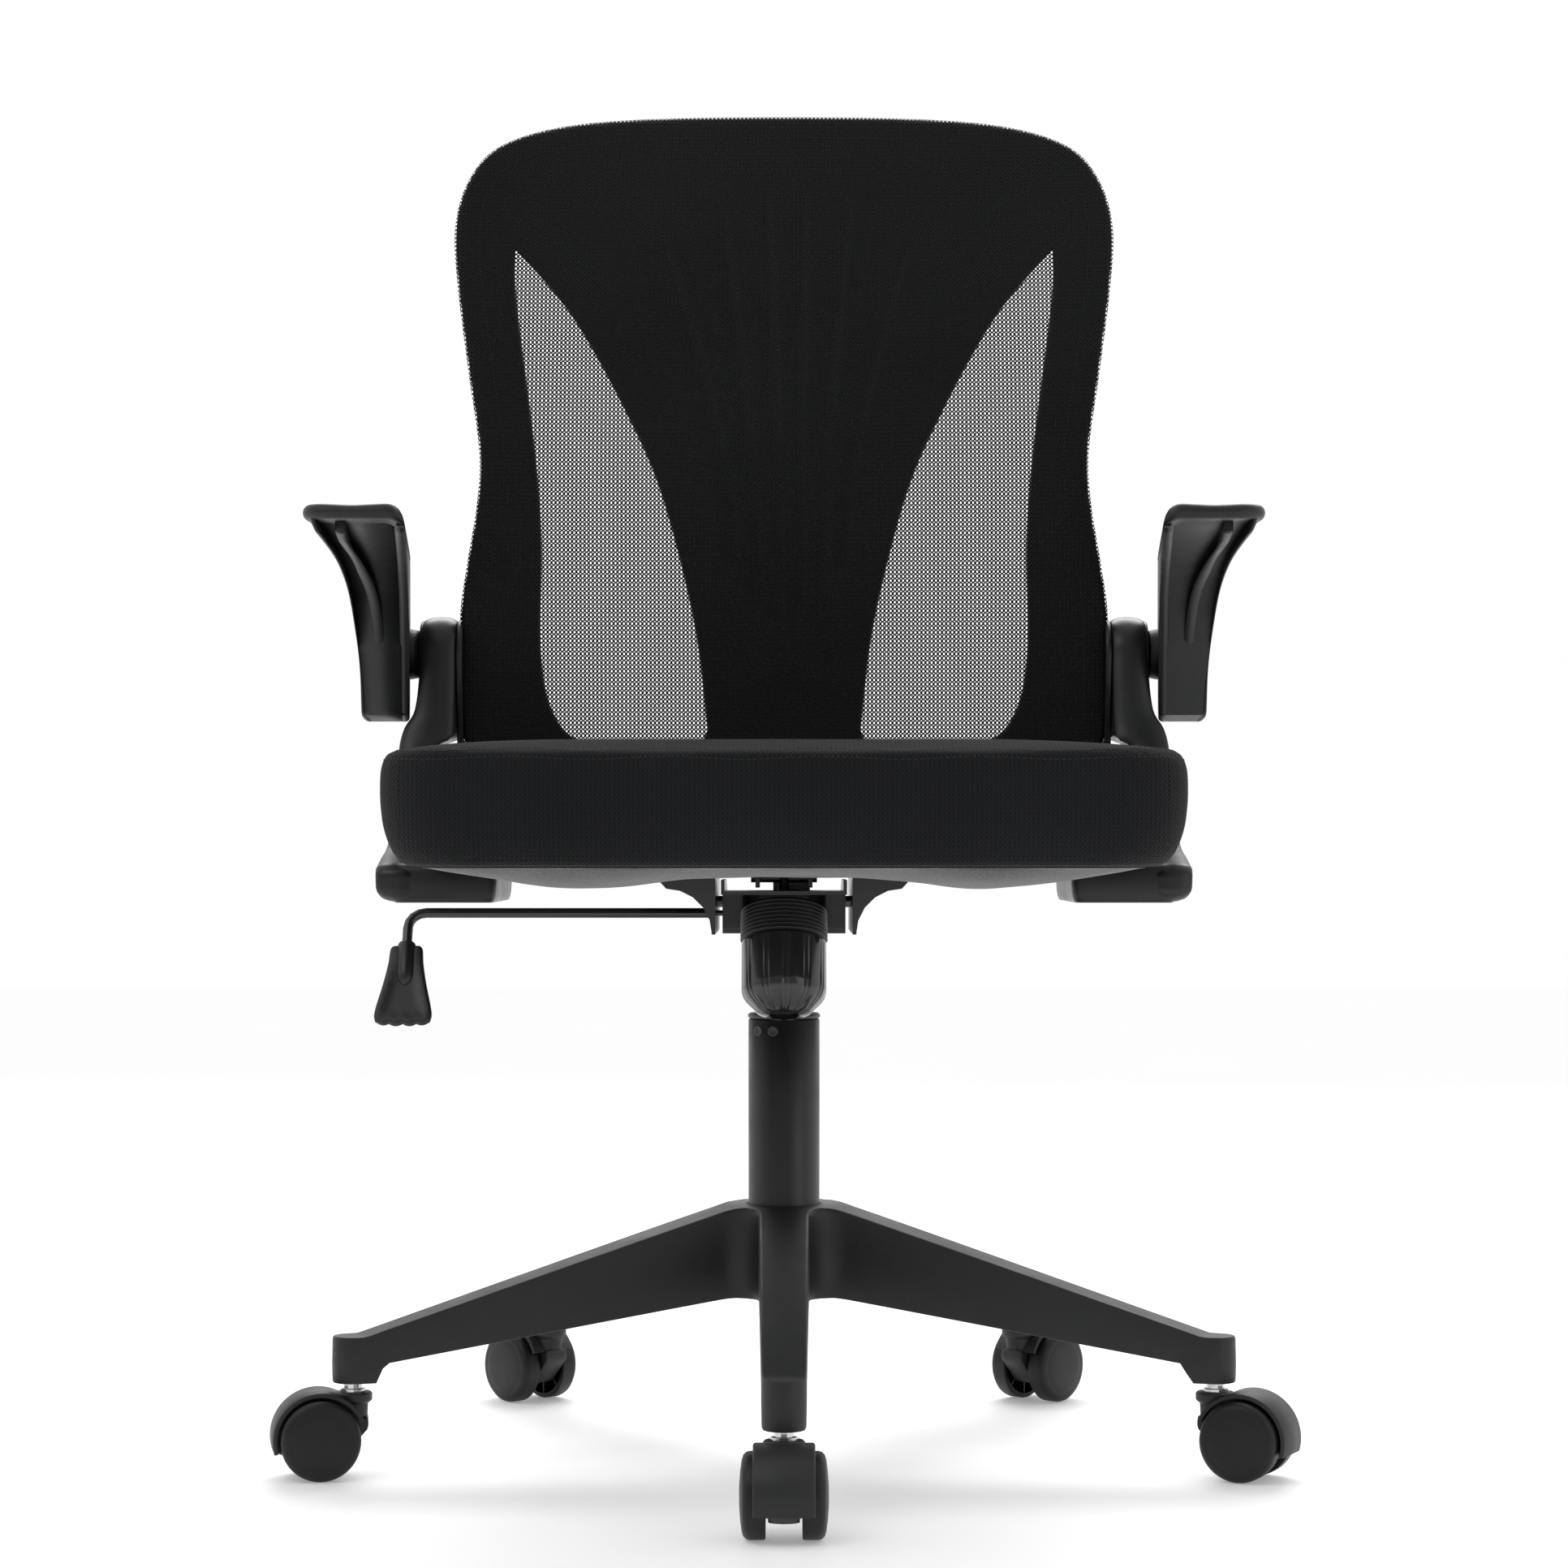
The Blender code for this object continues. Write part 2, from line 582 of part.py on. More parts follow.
def tension_unit(mats):
    """Hook bolt, boot, spring, sliding washer and knob, all along the leaning bolt."""
    bolt = lean(rod("tension_bolt", (0, 0, BOLT_END), (0, 0, 0.0), BOLT_R, 16))
    y, z = hook().y, hook().z
    join(bolt, rod("bar", (-HOOK_BAR_HALF, y, z), (HOOK_BAR_HALF, y, z), HOOK_BAR_R, 16))
    finish(bolt, mats["steel"], hook())

    ribs = []
    pitch = (BOOT_TOP - BOOT_END) / BOOT_RIBS
    for i in range(BOOT_RIBS):
        start = BOOT_END + i * pitch
        ribs += [(BOOT_R - 0.0022, start), (BOOT_R, start + pitch / 2)]
    ribs.append((BOOT_R - 0.0022, BOOT_TOP))
    boot = lathe("spring_boot", ribs + [(BOOT_R - 0.0045, BOOT_TOP), (BOOT_R - 0.0045, BOOT_END)], 20)
    finish(lean(boot), mats["rubber"], on_bolt(BOOT_TOP))

    inner = KNOB_R - KNOB_WALL
    floor = KNOB_END + 0.0120
    knob = lathe("tension_knob", [
        (0, KNOB_END + 0.004), (0.0098, KNOB_END + 0.004), (0.0098, KNOB_END),
        (0.0185, KNOB_END), (KNOB_R, KNOB_END + 0.0155), (KNOB_R, KNOB_TOP - 0.001),
        (KNOB_R - 0.001, KNOB_TOP), (inner, KNOB_TOP), (inner, floor),
        (BOLT_R + GAP, floor), (BOLT_R + GAP, KNOB_END + 0.0055), (0, KNOB_END + 0.0055),
    ], 20, closed=False)
    finish(lean(knob), mats["gloss"], on_bolt(KNOB_TOP))

    washer = lathe("spring_washer", [
        (BOLT_R + GAP, floor + GAP), (inner - 0.0006, floor + GAP), (inner - 0.0006, floor + 0.0025),
        (BOLT_R + GAP, floor + 0.0025),
    ], 20)
    finish(lean(washer), mats["steel"], on_bolt(floor))

    low = floor + 0.0025 + SPRING_WIRE_R + GAP
    high = BOOT_TOP - SPRING_WIRE_R - GAP
    steps = int(SPRING_TURNS * 10)
    curve = bpy.data.curves.new("tilt_spring", "CURVE")
    curve.dimensions = "3D"
    curve.bevel_depth = SPRING_WIRE_R
    curve.bevel_resolution = 0
    curve.use_fill_caps = True
    spline = curve.splines.new("POLY")
    spline.points.add(steps)
    for i, point in enumerate(spline.points):
        a = 2 * math.pi * SPRING_TURNS * i / steps
        point.co = (SPRING_R * math.cos(a), SPRING_R * math.sin(a), low + (high - low) * i / steps, 1)
    spring = bpy.data.objects.new("tilt_spring", curve)
    curve.materials.append(mats["steel"])
    spring.matrix_world = Matrix.Translation(hook()) @ Matrix.Rotation(-BOLT_LEAN, 4, "X")
    bpy.context.collection.objects.link(spring)


def lever(mats):
    """Height lever: a thin spindle with a finger over the gas button, then rod and paddle."""
    y, z = LEVER_Y, LEVER_Z
    spindle = rod("lever_rod", (-0.0515, y, z), (0.0210, y, z), SPINDLE_R, 12)
    finger_z = (BUTTON_TOP_Z + GAP, BUTTON_TOP_Z + GAP + 0.0026)
    web = block("web", (-0.0075, y - 0.0019, z - 0.001), (0.0180, y + 0.0015, finger_z[1]))
    finger = block("finger", (-0.0075, y - 0.0019, finger_z[0]), (0.0180, 0.0030, finger_z[1]))
    relief = block("relief", (-0.02, y + 0.008, finger_z[0] - 0.002), (0.03, -0.002, finger_z[0] + 0.0007))
    cut(finger, relief)
    down = Vector((0, -math.sin(LEVER_LEAN), -math.cos(LEVER_LEAN)))
    bend = Vector((LEVER_BEND_X, y, z))
    radius = 0.012
    start = Vector((-0.0505, y, z))
    path = [start, bend + Vector((radius + 0.02, 0, 0))]
    for i in range(5):
        a = math.pi / 2 * i / 4
        path.append(bend + Vector((radius * (1 - math.sin(a)), 0, 0)) + down * radius * (1 - math.cos(a)))
    path.append(bend + down * 0.050)
    rings = []
    for i, point in enumerate(path):
        ahead = path[min(i + 1, len(path) - 1)] - path[max(i - 1, 0)]
        ahead.normalize()
        side = ahead.cross(down.cross(Vector((1, 0, 0)))).normalized()
        lift = ahead.cross(side)
        angles = [2 * math.pi * k / 12 for k in range(12)]
        rings.append([point + LEVER_R * (side * math.cos(a) + lift * math.sin(a)) for a in angles])
    arm = skin("arm", rings)
    join(spindle, web, finger, arm)
    finish(spindle, mats["satin"], (0, y, z))

    outline = [(-0.0100, PADDLE_TOP), (0.0100, PADDLE_TOP), (0.0135, PADDLE_TOP + 0.016)]
    outline += [(PADDLE_HALF, PADDLE_END - 0.010)]
    outline += arc((PADDLE_HALF - 0.006, PADDLE_END - 0.006), 0.006, 0, 90, 3)
    outline += arc((-PADDLE_HALF + 0.006, PADDLE_END - 0.006), 0.006, 90, 180, 3)
    outline += [(-PADDLE_HALF, PADDLE_END - 0.010), (-0.0135, PADDLE_TOP + 0.016)]
    paddle = prism("lever_paddle", outline, -0.0024, 0.0024, "Z")
    boss = rod("boss", (0, PADDLE_TOP - 0.002, 0), (0, 0.058, 0), 0.0056, 16)
    join(paddle, boss)
    cut(paddle, rod("bore", (0, 0.0, 0), (0, 0.0506, 0), LEVER_R + GAP, 16))
    # The paddle's plane holds the X axis and the leaning stem.
    turn = Matrix(((1, 0, 0), (0, down.y, -down.z), (0, down.z, down.y))).to_4x4()
    paddle.data.transform(Matrix.Translation(bend) @ turn)
    finish(paddle, mats["plastic"], (0, y, z))

    lock = block("lock_block", (-0.0240, y - 0.006, z - 0.006), (-0.0140, y + 0.006, z + 0.006))
    cut(lock, rod("bore", (-0.03, y, z), (0.0, y, z), SPINDLE_R + GAP, 12))
    finish(lock, mats["steel"], (0, y, z))


def seat_plate(mats):
    """Butterfly plate: four wings, two ears for the pivot and two eyes for the hook bar."""
    top = PLATE_Z + SHEET
    waist = 0.049
    quarter = [(waist, -0.0350), (0.056, -0.0560), (WING_X - 0.010, -0.0730), (WING_X, -0.0830),
               (WING_X, WING_FRONT_Y + 0.006), (WING_X - 0.006, WING_FRONT_Y)]
    rear = [(WING_X - 0.006, WING_REAR_Y), (WING_X, WING_REAR_Y - 0.006), (WING_X, 0.0560),
            (WING_X - 0.010, 0.0460), (0.056, 0.0290), (waist, 0.0080)]
    right = quarter[::-1] + [(x, y) for x, y in rear][::-1]
    left = [(-x, y) for x, y in right][::-1]
    plate = prism("seat_plate", right + left, PLATE_Z, top)
    ears = []
    for side in (-1, 1):
        low, high = sorted((side * EAR_X, side * (EAR_X + SHEET)))
        ears.append(block("ear", (low, WING_FRONT_Y + 0.001, EAR_BOTTOM_Z),
                          (high, WING_REAR_Y - 0.001, PLATE_Z + 0.001)))
        sweep = [(side * (EAR_X + 0.001), PLATE_Z + 0.001), (side * (WING_X - 0.003), PLATE_Z + 0.001),
                 (side * (WING_X - 0.010), PLATE_Z - 0.0085)]
        bend = [(side * x, z) for x, z in arc((GUSSET_X, EAR_BOTTOM_Z), GUSSET_R, 90, 180, 5)]
        sweep += bend + [(side * (EAR_X + 0.001), EAR_BOTTOM_Z)]
        for y0 in (WING_FRONT_Y + 0.0015, WING_REAR_Y - 0.0015 - SHEET):
            ears.append(prism("gusset", sweep, y0, y0 + SHEET, "Y"))
        eye_x = sorted((side * 0.0165, side * 0.0195))
        ears.append(block("eye", (eye_x[0], hook().y - 0.0075, hook().z - 0.0065),
                          (eye_x[1], hook().y + 0.0075, PLATE_Z + 0.001)))
    join(plate, *ears)
    tools = [
        rod("pivot", (-0.06, PIVOT_Y, PIVOT_Z), (0.06, PIVOT_Y, PIVOT_Z), PIVOT_R + GAP, 16),
        rod("eye", (-0.03, hook().y, hook().z), (0.03, hook().y, hook().z), HOOK_BAR_R + 0.0016, 16),
        block("notch", (-0.06, LEVER_Y - 0.0038, 0.36), (-0.04, LEVER_Y + 0.0058, LEVER_Z + 0.0042)),
        block("window", (-0.026, -0.048, 0.405), (0.026, 0.026, 0.42)),
    ]
    for x in (-PLATE_BOLT_X, PLATE_BOLT_X):
        for y in PLATE_BOLT_Y:
            tools.append(rod("hole", (x, y, 0.40), (x, y, 0.42), 0.0034, 8))
    cut(plate, *tools)
    finish(plate, mats["metal"], (0, PIVOT_Y, PIVOT_Z))
    names = ("front_right", "front_left", "rear_right", "rear_left")
    for name, (y, x) in zip(names, [(y, x) for y in PLATE_BOLT_Y for x in (-PLATE_BOLT_X, PLATE_BOLT_X)]):
        bolt = lathe(f"plate_bolt_{name}", [
            (0, PLATE_Z - 0.0045), (0.0040, PLATE_Z - 0.0042), (0.0062, PLATE_Z - 0.0022),
            (0.0062, PLATE_Z - GAP), (0.0030, PLATE_Z - GAP), (0.0030, PAN_Z[0] + 0.0080),
            (0, PAN_Z[0] + 0.0080)], 12, closed=False)
        bolt.data.transform(Matrix.Translation((x, y, 0)))
        finish(bolt, mats["steel"])


# ================================================================ seat
def seat(mats):
    """Plywood pan, dust cover under it and the padded, fabric-covered cushion."""
    pan_low, pan_high = (-PAN_HALF_X, PAN_Y[0]), (PAN_HALF_X, PAN_Y[1])
    pan = prism("seat_pan", rounded(pan_low, pan_high, 0.045, 5), *PAN_Z)
    holes = [rod("hole", (x, y, 0.40), (x, y, PAN_Z[0] + 0.009), 0.0034, 8)
             for x in (-PLATE_BOLT_X, PLATE_BOLT_X) for y in PLATE_BOLT_Y]
    cut(pan, *holes)
    finish(pan, mats["wood"], (0, PIVOT_Y, PIVOT_Z))

    top = PAN_Z[0] - GAP
    cover = prism("seat_underside_cover", rounded((-0.233, -0.228), (0.233, 0.188), 0.042, 4), COVER_Z, top)
    mechanism = block("mechanism", (-0.098, -0.110, 0.39), (0.098, 0.083, 0.43))
    feet = [block("foot", (min(s * 0.201, s * 0.26), 0.024, 0.39), (max(s * 0.201, s * 0.26), 0.30, 0.43))
            for s in (-1, 1)]
    cut(cover, mechanism, *feet)
    finish(cover, mats["felt"], (0, PIVOT_Y, PIVOT_Z))

    # share of the height, inset of the outline
    steps = ((0.0, 0.013), (0.12, 0.0055), (0.35, 0.0008), (0.60, 0.0), (0.80, 0.0025),
             (0.93, 0.009), (1.0, 0.020))
    rings = []
    for share, inset in steps:
        low = (-SEAT_HALF_X + inset, SEAT_Y[0] + inset)
        high = (SEAT_HALF_X - inset, SEAT_Y[1] - inset)
        ring = []
        for x, y in rounded(low, high, 0.060 - inset, 5):
            back = (y - SEAT_Y[0]) / (SEAT_Y[1] - SEAT_Y[0])
            height = SEAT_FRONT_TOP_Z + (SEAT_REAR_TOP_Z - SEAT_FRONT_TOP_Z) * back - SEAT_BOTTOM_Z
            ring.append((x, y, SEAT_BOTTOM_Z + share * height))
        rings.append(ring)
    cushion = skin("seat_cushion", rings)
    grow = 0.0006
    low, high = (pan_low[0] - grow, pan_low[1] - grow), (pan_high[0] + grow, pan_high[1] + grow)
    cut(cushion, prism("recess", rounded(low, high, 0.045, 5), 0.40, PAN_Z[1] + GAP))
    finish(cushion, mats["fabric"], (0, PIVOT_Y, PIVOT_Z))


def side_bracket(mats):
    """J-shaped bracket: foot under the seat, upright beside it, round boss for the hinges."""
    bottom, top = BRACKET_BOTTOM_Z, PAN_Z[0] - GAP
    front_view = [(BRACKET_FOOT_X, bottom), (0.276, bottom)]
    front_view += arc((0.276, bottom + 0.013), 0.013, -60, 0, 3)
    front_view += [(0.2905, 0.500), (0.2816, 0.548), (0.2800, 0.592), (0.2740, FOLD_Z + 0.0275),
                   (0.2600, FOLD_Z + 0.030), (0.2535, FOLD_Z + 0.0295), (0.2535, 0.552),
                   (0.2625, 0.505), (0.2625, 0.4200), (0.2560, top), (BRACKET_FOOT_X, top)]
    body = prism("side_bracket_left", front_view, 0.0, 0.30, "Y")
    rear = smooth_curve([(0.165, bottom), (0.222, 0.402), (0.256, 0.445), (0.269, 0.510),
                         (FOLD_Y + BRACKET_R, FOLD_Z)], 3)
    front = smooth_curve([(FOLD_Y - BRACKET_R, FOLD_Z), (0.199, 0.510), (0.172, 0.462),
                          (0.120, 0.433), (0.060, 0.421), (0.028, 0.416)], 3)
    side_view = rear[:-1] + arc((FOLD_Y, FOLD_Z), BRACKET_R, 0, 180, 10)[:-1] + front
    side_view += [(0.028, bottom + 0.004), (0.032, bottom)]
    combine(body, [prism("side", side_view, 0.19, 0.31, "X")], "INTERSECT")
    groove = [(y - 0.030, z) for y, z in front[2:12]]
    groove_far = [(y + 0.010, z + 0.002) for y, z in front[2:12]]
    slot = prism("slot", groove + groove_far[::-1], 0.2700, 0.2765, "X")
    pin_bore = rod("pin_bore", (0.24, FOLD_Y, FOLD_Z), (0.2695, FOLD_Y, FOLD_Z), FOLD_PIN_R + GAP, 16)
    bolt_bore = rod("bolt_bore", (0.2730, FOLD_Y, FOLD_Z), (0.30, FOLD_Y, FOLD_Z), ARM_BOLT_R + GAP, 16)
    cut(body, slot, pin_bore, bolt_bore)
    finish(body, mats["gloss"], (0, PIVOT_Y, PIVOT_Z))
    right = mirrored(body, "side_bracket_right")
    for side, obj in ((1, body), (-1, right)):
        label = "left" if side > 0 else "right"
        pin = rod(f"fold_pin_{label}", (side * 0.2390, FOLD_Y, FOLD_Z), (side * 0.2692, FOLD_Y, FOLD_Z),
                  FOLD_PIN_R, 16)
        finish(pin, mats["steel"], (0, FOLD_Y, FOLD_Z))


# ================================================================ armrests
def splay(obj):
    """Run a piece's inner side outwards towards the back and narrow what flares past the leg."""
    for vertex in obj.data.vertices:
        along = vertex.co.y - ARM_FRONT_Y
        across = vertex.co.x - ARM_INNER_X
        flare = max(across - ARM_LEG_WIDTH, 0.0)
        narrowed = across - flare * ARM_TAPER * along / (FOLD_Y - ARM_FRONT_Y)
        vertex.co.x = ARM_INNER_X + ARM_SPLAY * along + narrowed
    return obj


def armrest(mats):
    """Boomerang arm with a channel along its lower edge, pivot stub, pad and shoulder bolt."""
    leg_top = ARM_PAD_TOP_Z - ARM_PAD_THICK - GAP
    rear = smooth_curve([(0.236, leg_top), (0.256, 0.630), (0.264, 0.585), (0.259, 0.545),
                         (0.245, 0.526), (0.229, 0.5215)], 3)
    front = smooth_curve([(0.213, 0.530), (0.200, 0.556), (0.180, 0.590), (0.142, 0.616),
                          (0.080, 0.632), (0.0, 0.642), (ARM_FRONT_Y + 0.020, 0.6440)], 3)
    side_view = rear + front + [(ARM_FRONT_Y + 0.012, leg_top - 0.002), (ARM_FRONT_Y + 0.014, leg_top)]
    inner = ARM_INNER_X + 0.0004
    body = prism("armrest_left", side_view, inner - 0.01, 0.34, "X")
    front_view = [(inner, leg_top + 0.01), (inner, 0.51), (0.2965, 0.51), (0.2985, 0.560),
                  (0.3030, 0.595), (0.3110, 0.618), (0.3215, 0.634), (0.3290, 0.6405),
                  (0.3290, leg_top + 0.01)]
    combine(body, [prism("front", front_view, -0.1, 0.3, "Y")], "INTERSECT")
    strip = prism("strip", [(y - 0.005, z - 0.005) for y, z in side_view], 0.2770, 0.2915, "X")
    cut(strip, prism("keep", [(y + 0.0105, z + 0.0095) for y, z in side_view], 0.27, 0.30, "X"))
    cut(strip, block("boss_zone", (0.26, 0.2180, 0.50), (0.31, 0.30, 0.70)))
    cut(body, strip)
    splay(body)
    stub = rod("stub", (0.2822, FOLD_Y, FOLD_Z), (0.3050, FOLD_Y, FOLD_Z), ARM_STUB_R, 24)
    join(body, stub)
    bore = rod("bore", (0.27, FOLD_Y, FOLD_Z), (0.34, FOLD_Y, FOLD_Z), ARM_BOLT_R + GAP, 16)
    seat_for_head = rod("head", (0.3205, FOLD_Y, FOLD_Z), (0.35, FOLD_Y, FOLD_Z), 0.0098, 20)
    cut(body, bore, seat_for_head)
    finish(body, mats["nylon"], (0, FOLD_Y, FOLD_Z))

    low = (ARM_INNER_X, ARM_FRONT_Y)
    high = (ARM_INNER_X + ARM_PAD_WIDTH, FOLD_Y + 0.004)
    rings = []
    for share, inset in ((0.0, 0.0035), (0.15, 0.0008), (0.55, 0.0), (0.85, 0.0018), (1.0, 0.0065)):
        corner, far = (low[0] + inset, low[1] + inset), (high[0] - inset, high[1] - inset)
        outline = rounded(corner, far, 0.022 - inset, 4)
        z = ARM_PAD_TOP_Z - ARM_PAD_THICK * (1 - share)
        rings.append([(x, y, z) for x, y in outline])
    pad = splay(skin("arm_pad_left", rings))
    finish(pad, mats["pad"], (0, FOLD_Y, FOLD_Z))

    bolt = turned("arm_bolt_left", [
        (0, 0.2735), (ARM_BOLT_R, 0.2735), (ARM_BOLT_R, 0.3208), (0.0092, 0.3208),
        (0.0092, 0.3232), (0.0080, 0.3240), (0, 0.3240),
    ], FOLD_Y, FOLD_Z)
    finish(bolt, mats["steel"], (0, FOLD_Y, FOLD_Z))
    for obj, name in ((body, "armrest_right"), (pad, "arm_pad_right"), (bolt, "arm_bolt_right")):
        mirrored(obj, name)


# ================================================================ backrest
BACK_LINE = [(0.475, 0.250), (0.55, 0.245), (0.62, 0.238), (0.68, 0.235), (0.75, 0.241),
             (0.85, 0.265), (0.95, 0.299), (1.02, 0.329)]     # height, depth of the front face
# distance from the middle, and how far the side comes forward there
BACK_WRAP = [(0.0, 0.0), (0.07, 0.0010), (0.13, 0.0038), (0.19, 0.0081), (0.26, 0.0150)]
BACK_EDGE = [(0, 1.0060), (0.110, 1.0035), (0.180, 0.9950), (0.2258, 0.9770), (0.2480, 0.9480),
             (0.2570, 0.9100), (0.2540, 0.8630), (0.2435, 0.7900), (0.2345, 0.7290), (0.2362, 0.6880),
             (0.2440, 0.6400), (0.2490, 0.6020), (0.2495, 0.5300), (0.2420, 0.4950), (0.2150, 0.4775),
             (0.110, 0.4750), (0, 0.4750)]
WINDOW_INNER = [(0.2090, 0.8905), (0.1857, 0.8644), (0.1590, 0.8287), (0.1220, 0.7611), (0.0939, 0.6958),
                (0.0692, 0.5979), (0.0590, 0.5150)]
WINDOW_OUTER = [(0.0750, 0.5030), (0.1489, 0.5057), (0.1759, 0.5264), (0.1865, 0.5742), (0.1857, 0.6600),
                (0.1912, 0.7322), (0.2070, 0.8490)]


def on_line(line, place):
    """Value at a place on a chain of straight stretches."""
    for (start, low), (end, high) in zip(line, line[1:]):
        if place <= end:
            break
    return low + (high - low) * (place - start) / (end - start)


def back_depth(x, z):
    """Depth of the backrest's front face: an S-curve whose sides wrap forward.

    It is flat between the lines that curved_plate cuts, so two plates bent to it
    stay parallel however they are triangulated.
    """
    return on_line(BACK_LINE, z) - on_line(BACK_WRAP, abs(x))


def back_outline():
    right = BACK_EDGE
    return right + [(-x, z) for x, z in right[-2:0:-1]]


def curved_plate(name, outline, holes, offset, thick):
    """Flat plate with holes, cut into a grid, thickened and bent to the backrest's shape."""
    bm = bmesh.new()
    edges = []
    for loop in [outline, *holes]:
        verts = [bm.verts.new((x, 0, z)) for x, z in loop]
        edges += [bm.edges.new((a, b)) for a, b in zip(verts, verts[1:] + verts[:1])]
    bmesh.ops.triangle_fill(bm, use_beauty=True, use_dissolve=False, edges=edges)
    for z, depth in BACK_LINE[1:-1]:
        slice_mesh(bm, (0, 0, z), (0, 0, 1))
    for x, forward in BACK_WRAP[:-1]:
        slice_mesh(bm, (x, 0, 0), (1, 0, 0))
        slice_mesh(bm, (-x, 0, 0), (1, 0, 0))
    front = list(bm.faces)
    extruded = bmesh.ops.extrude_face_region(bm, geom=front)
    rear = [item for item in extruded["geom"] if isinstance(item, bmesh.types.BMVert)]
    rear_set = set(rear)
    for vert in bm.verts:
        shift = offset + (thick if vert in rear_set else 0.0)
        vert.co.y = back_depth(vert.co.x, vert.co.z) + shift
    bmesh.ops.triangulate(bm, faces=bm.faces)
    return solid(name, bm)


def slice_mesh(bm, point, normal):
    geometry = bm.verts[:] + bm.edges[:] + bm.faces[:]
    bmesh.ops.bisect_plane(bm, geom=geometry, plane_co=point, plane_no=normal, dist=1e-5)


def backrest(mats):
    window = WINDOW_INNER + WINDOW_OUTER
    holes = [window, [(-x, z) for x, z in window]]
    frame = curved_plate("back_frame", back_outline(), holes, MESH_THICK + MESH_CLEAR, BACK_THICK)
    ears = []
    for side in (-1, 1):
        ears.append(rod("ear", (side * 0.2280, FOLD_Y, FOLD_Z), (side * 0.2520, FOLD_Y, FOLD_Z), 0.0085, 16))
    join(frame, *ears)
    bore = rod("bore", (-0.26, FOLD_Y, FOLD_Z), (-0.2380, FOLD_Y, FOLD_Z), FOLD_PIN_R + GAP, 16)
    bore_two = rod("bore", (0.2380, FOLD_Y, FOLD_Z), (0.26, FOLD_Y, FOLD_Z), FOLD_PIN_R + GAP, 16)
    cut(frame, bore, bore_two)
    finish(frame, mats["nylon"], (0, FOLD_Y, FOLD_Z))
    sheet = curved_plate("back_mesh", back_outline(), [], 0.0, MESH_THICK)
    finish(sheet, mats["fabric"], (0, FOLD_Y, FOLD_Z))


# ================================================================ the chair
def make_materials():
    return {
        "nylon": material("black nylon", SLATE, 0.55),
        "gloss": material("gloss black plastic", BLACK, 0.25),
        "plastic": material("black plastic", BLACK, 0.45),
        "wheel": material("caster wheel nylon", BLACK, 0.50),
        "satin": material("satin black steel", BLACK, 0.35, 0.6),
        "metal": material("black painted steel", BLACK, 0.30),
        "steel": material("steel", STEEL, 0.30, 1.0),
        "chrome": material("chrome", (0.60, 0.60, 0.61), 0.12, 1.0),
        "rubber": material("black rubber", BLACK, 0.60),
        "wood": material("plywood", (0.45, 0.32, 0.19), 0.70),
        "felt": material("grey felt", (0.16, 0.16, 0.16), 0.95),
        "fabric": material("black mesh fabric", SLATE, 0.90),
        "pad": material("soft black plastic", SLATE, 0.50),
    }


def main():
    clear_scene()
    mats = make_materials()
    star_base(mats["nylon"])
    for place, yaw in CASTER_YAW.items():
        caster(place, yaw, mats)
    gas_lift(mats)
    housing(mats)
    tension_unit(mats)
    lever(mats)
    seat_plate(mats)
    seat(mats)
    side_bracket(mats)
    armrest(mats)
    backrest(mats)


main()
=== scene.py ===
"""Looks of a swivel office chair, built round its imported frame.

Metres, +Z up, the sitter faces -Y.  Places come from the frame's own nodes and joints;
the few outlines that a soft or moulded skin needs are named tables below.
"""

import json
import math

import bmesh
import bpy
import numpy as np
from mathutils import Matrix, Vector
from mathutils.bvhtree import BVHTree
from mathutils.geometry import delaunay_2d_cdt

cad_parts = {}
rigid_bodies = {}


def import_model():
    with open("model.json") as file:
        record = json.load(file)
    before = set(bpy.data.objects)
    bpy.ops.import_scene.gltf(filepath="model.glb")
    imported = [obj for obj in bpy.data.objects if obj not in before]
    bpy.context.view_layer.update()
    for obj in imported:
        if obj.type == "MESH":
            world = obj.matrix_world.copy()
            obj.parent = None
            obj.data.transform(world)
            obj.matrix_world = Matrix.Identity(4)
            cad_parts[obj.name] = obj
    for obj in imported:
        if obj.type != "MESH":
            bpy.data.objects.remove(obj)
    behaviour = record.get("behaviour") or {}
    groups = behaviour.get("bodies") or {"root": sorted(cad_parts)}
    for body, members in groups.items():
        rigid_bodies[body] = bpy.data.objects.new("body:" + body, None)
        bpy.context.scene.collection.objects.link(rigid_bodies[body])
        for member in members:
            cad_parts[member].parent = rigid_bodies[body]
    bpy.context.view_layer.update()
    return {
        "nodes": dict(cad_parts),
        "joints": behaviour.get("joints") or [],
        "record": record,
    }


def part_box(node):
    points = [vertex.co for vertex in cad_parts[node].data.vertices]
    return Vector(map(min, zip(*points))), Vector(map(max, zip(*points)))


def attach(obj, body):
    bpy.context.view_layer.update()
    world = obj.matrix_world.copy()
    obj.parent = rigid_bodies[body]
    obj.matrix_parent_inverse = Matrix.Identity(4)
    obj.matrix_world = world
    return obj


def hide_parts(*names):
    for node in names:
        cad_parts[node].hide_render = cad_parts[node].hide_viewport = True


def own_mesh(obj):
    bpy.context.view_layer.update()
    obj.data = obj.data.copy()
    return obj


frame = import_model()
NODES = frame["nodes"]
JOINTS = {joint["name"]: joint for joint in frame["joints"]}

